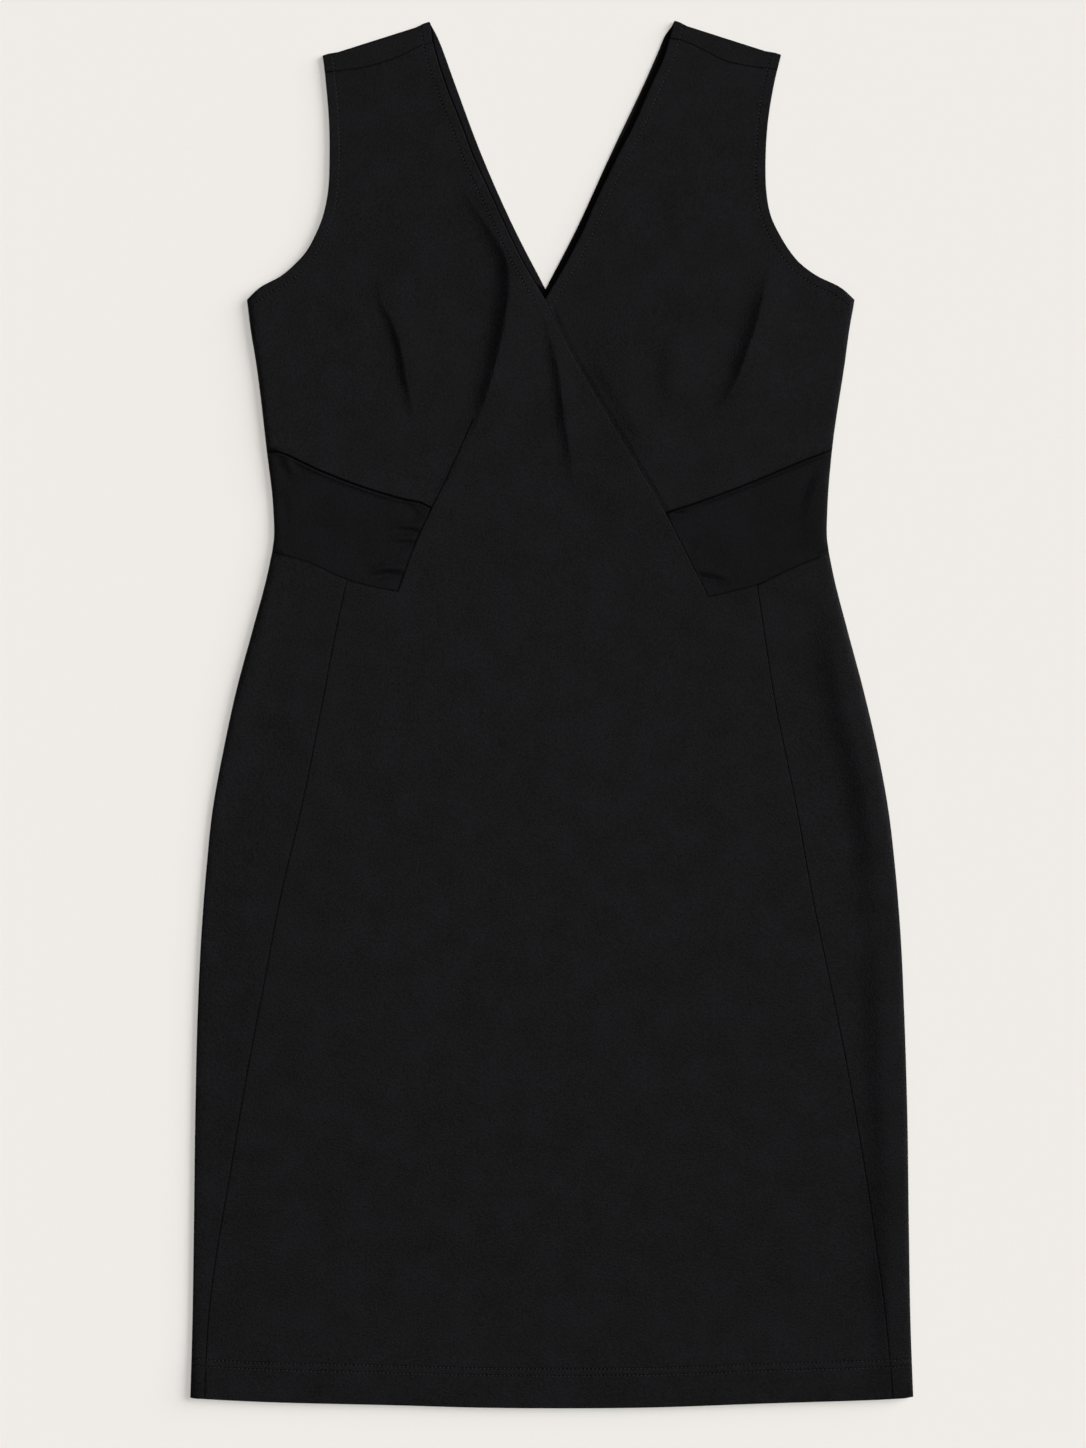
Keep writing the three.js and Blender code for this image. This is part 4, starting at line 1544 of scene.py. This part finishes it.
@dataclass(frozen=True)
class ShoulderFold:
    """The back's cloth carried over one shoulder and down to the forward seam.

    Args:
        side: Which shoulder.
        radius: Of the fold's outer face.
        proud: How much further the turned edges stand out at the fold.
        settle: How far past the turn the cloth comes to lie at the front's height.
    """

    side: Side
    radius: float = STRAP_HEIGHT / 2
    proud: float = 0.85
    settle: float = 6.0

    def middle(self) -> float:
        """The radius of the middle of the cloth, on which its flat length is measured."""
        return self.radius - CLOTH / 2

    def frame(self) -> tuple[Array, Array]:
        """Where the fold lies.

        Returns:
            A point where the cloth starts to turn, and the direction out across the fold.
        """
        neck, arm = (np.array(place(self.side.value * row.at, row.on(self.side))) for row in SHOULDER_FOLD)
        along = (arm - neck) / np.linalg.norm(arm - neck)
        out = np.array((-along[1], along[0])) * self.side.value
        return neck - out * self.radius, out

    def past(self, points: Array) -> Array:
        """How far points lie past where the cloth starts to turn."""
        start, out = self.frame()
        return (points - start) @ out

    def flattened(self, points: Line) -> Line:
        """Lays out a line on the return.

        Args:
            points: The line, as seen from above.

        Returns:
            The line in the flat cloth of the back.
        """
        _, out = self.frame()
        reach = math.pi * self.middle() - 2 * self.past(points)
        return points + reach[:, None] * out

    def folded(
        self, flat: Array, outer: Array, band: Array, fall: Array, sewn: Array
    ) -> Array:
        """Carries cloth over the fold.

        Args:
            flat: Points of the flat cloth past where it starts to turn.
            outer: Whether each is on the cloth's outer face.
            band: How far each is in a turned edge, from 0 to 1.
            fall: How far the rounding of an edge has lowered each.
            sewn: How far each is from a seam.

        Returns:
            The points in space.
        """
        _, out = self.frame()
        past = self.past(flat)
        theta = np.clip(past / self.middle(), 0, math.pi)
        beyond = np.maximum(past - math.pi * self.middle(), 0)
        stand = self.proud * np.sin(theta) + EDGES.turned_lift * (1 - np.cos(theta)) / 2
        far = self.radius + stand * band - fall
        near = self.radius - CLOTH - EDGES.turned_lift * band * (1 + np.cos(theta)) / 2 + fall
        radius = np.where(outer, far, near)
        seen = flat + (radius * np.sin(theta) - beyond - past)[:, None] * out
        extra = FRONT.height(seen, ()) - 2 * self.radius
        z = self.radius - radius * np.cos(theta) + extra * ramp(beyond, 0, self.settle)
        z -= EDGES.drawn_in(sewn) * outer
        return np.c_[seen, np.maximum(z, 0)]


@dataclass
class BackPanel(CutPiece):
    """The back in one piece, from the forward shoulder seams to the hem.

    Args:
        fold_rows: How many rows of cells turn over a shoulder.
        cells_from: Cells are cut along a shoulder fold from this far before it.
        cells_to: To this far past it.
        cut_before: How far before the turn one more cut lies.
        cuts_past: How far past it more cuts lie.
        band_soft: How softly a turned band ends.
        stitch_end: How far short of a shoulder fold its stitches end.
    """

    fold_rows: int = 10
    cells_from: float = -8.0
    cells_to: float = 24.0
    cut_before: float = 3.0
    cuts_past: tuple[float, ...] = (1.0, 2.5, 5.0)
    band_soft: float = 0.8
    stitch_end: float = 1.0

    def outside_shade(self, flat: Array, outer: Array, edges: Distances) -> Array:
        """The front's neck edges shade the inner face of the back too.

        Args:
            flat: Points of the flat cloth.
            outer: Whether each is on the cloth's outer face.
            edges: The distance of each from the edges of each kind.

        Returns:
            How far each point is outside the shade.
        """
        out = super().outside_shade(flat, outer, edges)
        for side in Side:
            apart, _ = nearest(down_line(FRONT_NECK, side), flat)
            out = np.where(outer, np.minimum(out, -side.value * apart - SHADE.neck(side)), out)
        return out

    def stitch_rows(self) -> list[Line]:
        """On the returns, from the shoulder folds to the shoulder seams.

        Returns:
            The rows.
        """
        rows = []
        for side in Side:
            for whole in turned_rows(side):
                row = split(whole, DRAFT.shoulder_seam(side))[0]
                rows.append(row[ShoulderFold(side).past(row) < -self.stitch_end])
        return rows

    def surface(self, points: Array) -> Array:
        """Height of the returns over the shoulders."""
        return FRONT.height(points, ()) + EDGES.stitch_share * EDGES.turned_lift

    def half(self, side: Side) -> list[Run]:
        """One side's neck edge upwards, its shoulder seam outwards, and its armhole and side downwards.

        Args:
            side: The side of the dress.

        Returns:
            The runs of the outline.
        """
        fold = ShoulderFold(side)
        neck, arm = down_line(BACK_NECK, side)[::-1], DRAFT.armhole(side)
        fronts = (split(down_line(rows, side), DRAFT.shoulder_seam(side))[0] for rows in (FRONT_NECK, ARMHOLE))
        return_neck, return_arm = (fold.flattened(line[fold.past(line) < 0]) for line in fronts)
        return [
            (np.vstack([neck[fold.past(neck) < 0], return_neck]), Edge.TURNED),
            (fold.flattened(DRAFT.across_strap(side)), Edge.SEWN),
            (np.vstack([return_arm[::-1], arm[fold.past(arm) < 0]]), Edge.TURNED),
            (DRAFT.to_hem(DRAFT.side(side)), Edge.SIDE),
        ]

    def runs(self) -> list[Run]:
        """From the V of the neck up the left strap, round the body and down the right strap.

        Returns:
            The runs of the outline.
        """
        left, right = self.half(Side.LEFT), self.half(Side.RIGHT)
        hem = np.array([left[-1][0][-1], right[-1][0][-1]])
        return [*left, (hem, Edge.HEM), *((line[::-1], kind) for line, kind in reversed(right))]

    def refine(self, bm: Mesh) -> None:
        """Cuts rows of cells along both shoulder folds.

        Args:
            bm: The flat mesh.
        """
        for side in Side:
            fold = ShoulderFold(side)
            start, out = fold.frame()
            near = []
            for face in bm.faces:
                centre = np.array(face.calc_center_median()[:2])
                if centre[0] * side.value > 0 and self.cells_from < fold.past(centre) < self.cells_to:
                    near.append(face)
            turns = np.linspace(0, math.pi * fold.middle(), self.fold_rows)
            levels = [-self.cut_before, *turns, *(turns[-1] + past for past in self.cuts_past)]
            cut_cells(bm, near, Vector((*out, 0)), [float(start @ out + level) for level in levels])

    def lay(self, flat: Array, outer: Array, edges: Distances) -> Array:
        """Lays the back with its outer face down, its sides curled up and its straps folded over.

        Args:
            flat: Points of the flat cloth.
            outer: Whether each is on the cloth's outer face.
            edges: The distance of each from the edges of each kind.

        Returns:
            The points in space.
        """
        outer = ~outer
        curved = HEM.curved(flat)
        x, y = curved[:, 0], curved[:, 1]
        flat_end = ROLL.flat_end(curved)
        reach = np.abs(x) - flat_end
        sign = np.sign(x)
        hem = hem_share(flat) * ROLL.hem_left(reach)
        band = within(edges[Edge.TURNED], TURNED_BAND, self.band_soft, self.band_soft)
        fall = quarter(np.minimum(edges[Edge.TURNED], edges[Edge.HEM]), EDGES.turned_radius)
        bulge = -FRONT.troughs(curved, BACK_RIDGES)
        lower = bulge + EDGES.under_share * fall
        upper = bulge + CLOTH * (1 + hem) + EDGES.turned_lift * band - fall
        laid = np.c_[x, y, np.where(outer, lower, upper)]
        drop = np.where(outer, 0, CLOTH)
        angle = ROLL.angle(reach)
        height = SEAM_HEIGHT - self.closeness
        rolled = np.c_[
            sign * (flat_end + (ROLL.width - drop) * np.cos(angle)),
            y,
            height - (height - drop) * np.sin(angle),
        ]
        laid = np.where((reach > 0)[:, None], rolled, laid)
        for side in Side:
            fold = ShoulderFold(side)
            at = np.nonzero((fold.past(flat) > 0) & (sign == side.value))[0]
            laid[at] = fold.folded(flat[at], outer[at], band[at], fall[at], edges[Edge.SEWN][at])
        return laid


@dataclass
class Stitching:
    """Rows of stitches in one piece of thread, each a small sunk grain.

    Args:
        name: The piece's name.
        pitch: From one stitch to the next.
        length: Of a stitch.
        radius: Of the thread.
        flatness: A stitch's height as a share of its width.
        segments: Faces round a stitch.
        rings: And along it.
    """

    name: str
    pitch: float = 2.9
    length: float = 1.3
    radius: float = 0.32
    flatness: float = 0.8
    segments: int = 6
    rings: int = 5

    def build(self, rows: Sequence[Line], height: Callable[[Array], Array]) -> Object:
        """Sews the rows.

        Args:
            rows: Each row's line.
            height: Gives the height of the cloth at places on it.

        Returns:
            The object that holds all the stitches.
        """
        bm = bmesh.new()
        for line in rows:
            at = even(line, self.pitch)
            ends = at[:-1] + (at[1:] - at[:-1]) * self.length / self.pitch
            for start, end, low, high in zip(at[:-1], ends, height(at[:-1]), height(ends)):
                a, b = Vector((*start, low)), Vector((*end, high))
                turn = (b - a).to_track_quat("Z", "Y").to_matrix().to_4x4()
                scale = Matrix.Diagonal((self.radius, self.radius * self.flatness, (b - a).length / 2, 1))
                bmesh.ops.create_uvsphere(
                    bm,
                    u_segments=self.segments,
                    v_segments=self.rings,
                    radius=MM,
                    matrix=Matrix.Translation((a + b) / 2 * MM) @ turn @ scale,
                )
        return finished(bm, self.name)

    def dress(self, piece: Object, finish: Material) -> None:
        """Gives the thread its finish and its place in the frame.

        Args:
            piece: The built object.
            finish: Its material.
        """
        piece.data.materials.append(finish)
        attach(piece, BODY)


Value = Socket | float
NOISE_MIDDLE = 0.5


@dataclass(frozen=True)
class Graph:
    """The nodes of a shader group, with sums on their sockets."""

    tree: NodeTree

    def give(self, socket: Socket, value: Value) -> None:
        """Gives a socket its value.

        Args:
            socket: The socket.
            value: A number, or the socket that it comes from.
        """
        if isinstance(value, (int, float)):
            socket.default_value = value
        else:
            self.tree.links.new(value, socket)

    def maths(self, operation: str, first: Value, second: Value = 0.0) -> Socket:
        """The result of a sum.

        Args:
            operation: The sum.
            first: What it works on.
            second: And what else, if it takes two.

        Returns:
            The socket that has it.
        """
        node = self.tree.nodes.new("ShaderNodeMath")
        node.operation = operation
        self.give(node.inputs[0], first)
        self.give(node.inputs[1], second)
        return node.outputs[0]

    def noise(self, scale: Value, detail: float, roughness: float) -> Socket:
        """Noise about nought.

        Args:
            scale: How fine it is, in a metre.
            detail: How many finer layers it has.
            roughness: How strong they are.

        Returns:
            The noise.
        """
        where = self.tree.nodes.new("ShaderNodeTexCoord")
        node = self.tree.nodes.new("ShaderNodeTexNoise")
        for name, value in (
            ("Vector", where.outputs["Object"]),
            ("Scale", scale),
            ("Detail", detail),
            ("Roughness", roughness),
        ):
            self.give(node.inputs[name], value)
        return self.maths("SUBTRACT", node.outputs["Fac"], NOISE_MIDDLE)

    def past(self, attribute: str, at: float) -> Socket:
        """How far an attribute is past a value.

        Args:
            attribute: The attribute.
            at: The value, in millimetres.

        Returns:
            The socket that has it.
        """
        node = self.tree.nodes.new("ShaderNodeAttribute")
        node.attribute_name = attribute
        return self.maths("SUBTRACT", node.outputs["Fac"], at * MM)

    def share(self, value: Value, width: float) -> Socket:
        """A value as a share of a width, kept between 0 and 1."""
        return self.maths("MINIMUM", self.maths("MAXIMUM", self.maths("DIVIDE", value, width * MM), 0.0), 1.0)

    def groove(self, attribute: str, at: float, width: float) -> Socket:
        """A narrow line where an attribute has a value, 1 in its middle and 0 past its sides."""
        return self.maths("SUBTRACT", 1.0, self.share(self.maths("ABSOLUTE", self.past(attribute, at)), width))


@dataclass(frozen=True)
class KnitPattern:
    """What the finishes of all the cloths share: grain, mottling, stitched grooves with painted shade in them,
    and the shade in seams.

    Args:
        grain_detail: How many finer layers the grain has.
        grain_roughness: How strong they are.
        blotches: Of the mottling, in a metre.
        blotch_detail: How many finer layers it has.
        blotch_roughness: How strong they are.
        blueness: How much further the mottling goes in blue.
        least: The least share of its colour that the grain leaves the cloth.
        groove_width: From the middle of a row of stitches to where the cloth is flat.
        groove_painted_shade: How much darker the cloth is painted there, as painted shade in the groove.
        groove_depth: How much lower, as a share of the relief.
        step_width: Width of the step beside the stitches of a turned edge.
        step_depth: Its height, as a share of the relief.
        shade_dark: How much darker the shade is.
    """

    grain_detail: float = 2.0
    grain_roughness: float = 0.65
    blotches: float = 40.0
    blotch_detail: float = 5.0
    blotch_roughness: float = 0.62
    blueness: float = 0.3
    least: float = 0.1
    groove_width: float = 0.9
    groove_painted_shade: float = 0.5
    groove_depth: float = 0.55
    step_width: float = 1.1
    step_depth: float = 0.5
    shade_dark: float = 0.92

    def sockets(self, tree: NodeTree) -> None:
        """Names what the group takes and gives.

        Args:
            tree: The group's nodes.
        """
        for name in ("Grain", "Mottle", "Roughness", "Grains per metre"):
            tree.interface.new_socket(name, in_out="INPUT", socket_type="NodeSocketFloat")
        tree.interface.new_socket("Colour", in_out="INPUT", socket_type="NodeSocketColor")
        tree.interface.new_socket("Colour", in_out="OUTPUT", socket_type="NodeSocketColor")
        for name in ("Roughness", "Height"):
            tree.interface.new_socket(name, in_out="OUTPUT", socket_type="NodeSocketFloat")

    def group(self) -> NodeTree:
        """Makes the node group.

        Returns:
            A group that gives a colour, a roughness and a height.
        """
        tree = bpy.data.node_groups.new("knit", "ShaderNodeTree")
        self.sockets(tree)
        nodes, graph = tree.nodes, Graph(tree)
        maths = graph.maths
        given, out = nodes.new("NodeGroupInput").outputs, nodes.new("NodeGroupOutput").inputs
        fine = graph.noise(given["Grains per metre"], self.grain_detail, self.grain_roughness)
        blotched = graph.noise(self.blotches, self.blotch_detail, self.blotch_roughness)
        mottle = maths("MULTIPLY", blotched, given["Mottle"])
        sewn = graph.groove("from_turned", TURNED_BAND, self.groove_width)
        for row in HEM_ROWS:
            sewn = maths("MAXIMUM", sewn, graph.groove("from_hem", row, self.groove_width))
        beyond = graph.share(graph.past("from_turned", TURNED_BAND - self.step_width / 2), self.step_width)
        dark = graph.share(graph.past("in_shade", 0.0), SHADE.soft)
        grain = maths("MULTIPLY", fine, given["Grain"])
        strength = maths("MAXIMUM", maths("ADD", maths("ADD", 1.0, grain), mottle), self.least)
        # painted shade: the colour is darkened along the stitched grooves, standing in for the shade in them
        strength = maths("SUBTRACT", strength, maths("MULTIPLY", sewn, self.groove_painted_shade))
        lit = maths("SUBTRACT", 1.0, maths("MULTIPLY", dark, self.shade_dark))
        strength = maths("MULTIPLY", strength, lit)
        tint, tinted = nodes.new("ShaderNodeCombineXYZ"), nodes.new("ShaderNodeVectorMath")
        tinted.operation = "MULTIPLY"
        blue = maths("ADD", strength, maths("MULTIPLY", mottle, self.blueness))
        step = maths("MULTIPLY", beyond, self.step_depth)
        formed = maths("ADD", maths("MULTIPLY", sewn, self.groove_depth), step)
        for socket, value in (
            (tint.inputs["X"], strength),
            (tint.inputs["Y"], strength),
            (tint.inputs["Z"], blue),
            (tinted.inputs[0], given["Colour"]),
            (tinted.inputs[1], tint.outputs[0]),
            (out["Colour"], tinted.outputs[0]),
            (out["Roughness"], maths("MAXIMUM", given["Roughness"], dark)),
            (out["Height"], maths("SUBTRACT", fine, formed)),
        ):
            graph.give(socket, value)
        return tree


@dataclass(frozen=True)
class Finish:
    """How a cloth looks.

    Args:
        name: The material's name.
        colour: Its colour, in linear light.
        roughness: Of its surface.
        grain: How much its colour varies from stitch to stitch.
        grains: How fine that is, in a metre.
        mottle: How much it varies over a few centimetres.
        relief: Depth of the knit.
        shine: Its specular level.
        fuzz: Its sheen.
        fuzz_roughness: The sheen's roughness.
    """

    name: str
    colour: tuple[float, float, float]
    roughness: float = 0.5
    grain: float = 3.5
    grains: float = 700.0
    mottle: float = 1.5
    relief: float = 0.4
    shine: float = 0.044
    fuzz: float = 0.02
    fuzz_roughness: float = 0.6

    def material(self, group: NodeTree) -> Material:
        """Makes the material.

        Args:
            group: The shared knit group.

        Returns:
            The material.
        """
        made = bpy.data.materials.new(self.name)
        made.use_nodes = True
        nodes, links = made.node_tree.nodes, made.node_tree.links
        shader = nodes["Principled BSDF"]
        knit, bump = nodes.new("ShaderNodeGroup"), nodes.new("ShaderNodeBump")
        knit.node_tree = group
        for node, name, value in (
            (knit, "Colour", (*self.colour, 1)),
            (knit, "Grain", self.grain),
            (knit, "Mottle", self.mottle),
            (knit, "Roughness", self.roughness),
            (knit, "Grains per metre", self.grains),
            (bump, "Distance", self.relief * MM),
            (bump, "Strength", 1.0),
            (shader, "Specular IOR Level", self.shine),
            (shader, "Sheen Weight", self.fuzz),
            (shader, "Sheen Roughness", self.fuzz_roughness),
        ):
            node.inputs[name].default_value = value
        links.new(knit.outputs["Colour"], shader.inputs["Base Color"])
        links.new(knit.outputs["Roughness"], shader.inputs["Roughness"])
        links.new(knit.outputs["Height"], bump.inputs["Height"])
        links.new(bump.outputs["Normal"], shader.inputs["Normal"])
        return made


KNIT = Finish("firm_knit", (0.0032, 0.0032, 0.0038))
INSET_KNIT = Finish("inset_knit", (0.0026, 0.0026, 0.0032), grain=2.0, shine=0.036)
THREAD = Finish("thread", (0.016, 0.016, 0.018), grain=0.2, mottle=0.0, shine=0.2)


@dataclass(frozen=True)
class Lamp:
    """A soft light so far away that it is even over the whole floor.

    Args:
        name: Its name.
        strength: What it gives a surface that faces it.
        bearing: Degrees round from the picture's right towards its top.
        height: Degrees above the floor.
        breadth: Degrees that it spans as seen from the dress.
        distance: Where its object stands, in metres.
    """

    name: str
    strength: float
    bearing: float
    height: float
    breadth: float
    distance: float = 3.0

    def place(self) -> None:
        """Sets the light up."""
        lamp = bpy.data.lights.new(self.name, "SUN")
        lamp.energy = self.strength
        lamp.angle = math.radians(self.breadth)
        light = put(self.name, lamp)
        bearing, height = math.radians(self.bearing), math.radians(self.height)
        towards = Vector((
            math.cos(bearing) * math.cos(height), math.sin(bearing) * math.cos(height), math.sin(height),
        ))
        light.location = towards * self.distance
        light.rotation_euler = (-towards).to_track_quat("-Z", "Y").to_euler()


@dataclass
class Studio:
    """The camera straight above, the plain floor and the soft light.

    Args:
        centre: What the camera looks at.
        height: How high the camera is.
        field: How much of the floor's length it sees.
        floor_reach: How far the floor reaches, in metres.
        floor_colour: In linear light.
        floor_roughness: Of its surface.
        floor_shine: Its specular level.
        fill: Strength of the light from all round.
        lamps: The soft lights.
    """

    centre: tuple[float, float] = (-0.0061, -0.0069)
    height: float = 2.2
    field: float = 1.0455
    floor_reach: float = 6.0
    floor_colour: tuple[float, float, float] = (0.80, 0.775, 0.74)
    floor_roughness: float = 0.9
    floor_shine: float = 0.1
    fill: float = 0.06
    lamps: tuple[Lamp, ...] = (
        Lamp("low_right", 3.9, 22.0, 22.0, 44.0),
        Lamp("overhead", 1.76, 70.0, 88.0, 32.0),
    )

    def camera(self) -> None:
        """Looks straight down, with the neck at the top of the picture."""
        lens = bpy.data.cameras.new("camera")
        lens.sensor_fit = "VERTICAL"
        lens.angle = 2 * math.atan(self.field / 2 / self.height)
        eye = put("camera", lens)
        eye.location = (*self.centre, self.height)
        bpy.context.scene.camera = eye

    def floor(self) -> None:
        """A plain floor that the dress lies on."""
        bm = bmesh.new()
        bmesh.ops.create_grid(bm, x_segments=1, y_segments=1, size=self.floor_reach)
        mesh = bpy.data.meshes.new("floor")
        bm.to_mesh(mesh)
        bm.free()
        made = bpy.data.materials.new("floor")
        made.use_nodes = True
        shader = made.node_tree.nodes["Principled BSDF"]
        shader.inputs["Base Color"].default_value = (*self.floor_colour, 1)
        shader.inputs["Roughness"].default_value = self.floor_roughness
        shader.inputs["Specular IOR Level"].default_value = self.floor_shine
        mesh.materials.append(made)
        put("floor", mesh)

    def lights(self) -> None:
        """A little light from all round, and the soft lights."""
        world = bpy.data.worlds.new("studio")
        world.use_nodes = True
        background = world.node_tree.nodes["Background"]
        background.inputs["Color"].default_value = (1, 1, 1, 1)
        background.inputs["Strength"].default_value = self.fill
        bpy.context.scene.world = world
        bpy.context.scene.view_settings.view_transform = "Standard"
        for lamp in self.lamps:
            lamp.place()


BACK_WEAVE = Weave(cell=7.0)
SIDE_WEAVE = Weave(rings=(0.12, 0.35, 0.8, 1.5, 2.6))
INSET_WEAVE = Weave(cell=2.0, rings=(0.12, 0.4, 0.8, 1.2, 1.6, 2.0, 2.5, 3.2), outline=2.6)
INSET_LOWERED = 0.45
HEM_CUTS = tuple(HEM.level + HEM_DEPTH + step for step in (-6.0, -4.8, -3.6, -1.6, -0.9, -0.3, 0.3, 0.9, 1.8))


def front_pieces() -> list[FrontPiece]:
    """The six pieces of the front.

    Returns:
        The pieces, from the wrap outwards.
    """
    pieces: list[FrontPiece] = [
        WrapFront(
            "wrap_front_cloth", "wrap_front", "knit", fine_rows=HEM_CUTS, lapped=True,
            folds=(*WRAP_FOLDS, *SKIRT_RIDGES.values()),
        ),
        UnderBodice("under_bodice_cloth", "under_bodice", "knit", folds=(*BODICE_FOLDS, UNDER_WRAP)),
    ]
    for side in Side:
        name = side.name.lower()
        pieces += [
            SideFront(
                f"side_front_{name}_cloth", f"side_front_{name}", "knit", SIDE_WEAVE, HEM_CUTS, side=side,
                folds=(*WRAP_FOLDS, SKIRT_RIDGES[side]),
            ),
            WaistInset(
                f"waist_inset_{name}_cloth", f"waist_inset_{name}", "inset_knit", INSET_WEAVE, side=side,
                folds=(*WRAP_FOLDS, *INSET_FOLDS[side]), lowered=INSET_LOWERED,
            ),
        ]
    return pieces


def main() -> None:
    """Builds the dress, piece by piece, and its studio."""
    logging.basicConfig(level=logging.INFO, format="%(name)s: %(message)s")
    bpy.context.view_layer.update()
    studio = Studio()
    studio.camera()
    studio.floor()
    studio.lights()
    group = KnitPattern().group()
    finishes = {"knit": KNIT.material(group), "inset_knit": INSET_KNIT.material(group)}
    thread = THREAD.material(group)

    back = BackPanel("back_cloth", "back_panel", "knit", BACK_WEAVE)
    for piece in (back, *front_pieces()):
        cloth = piece.build()
        sewn = []
        rows = piece.stitch_rows()
        if rows:
            stitching = Stitching(f"{piece.node}_thread")
            sewn = [stitching.build(rows, piece.surface)]
            stitching.dress(sewn[0], thread)
        piece.dress(cloth, finishes[piece.slot], ["floor" if piece is back else back.name], sewn)


if __name__ == "__main__":
    main()
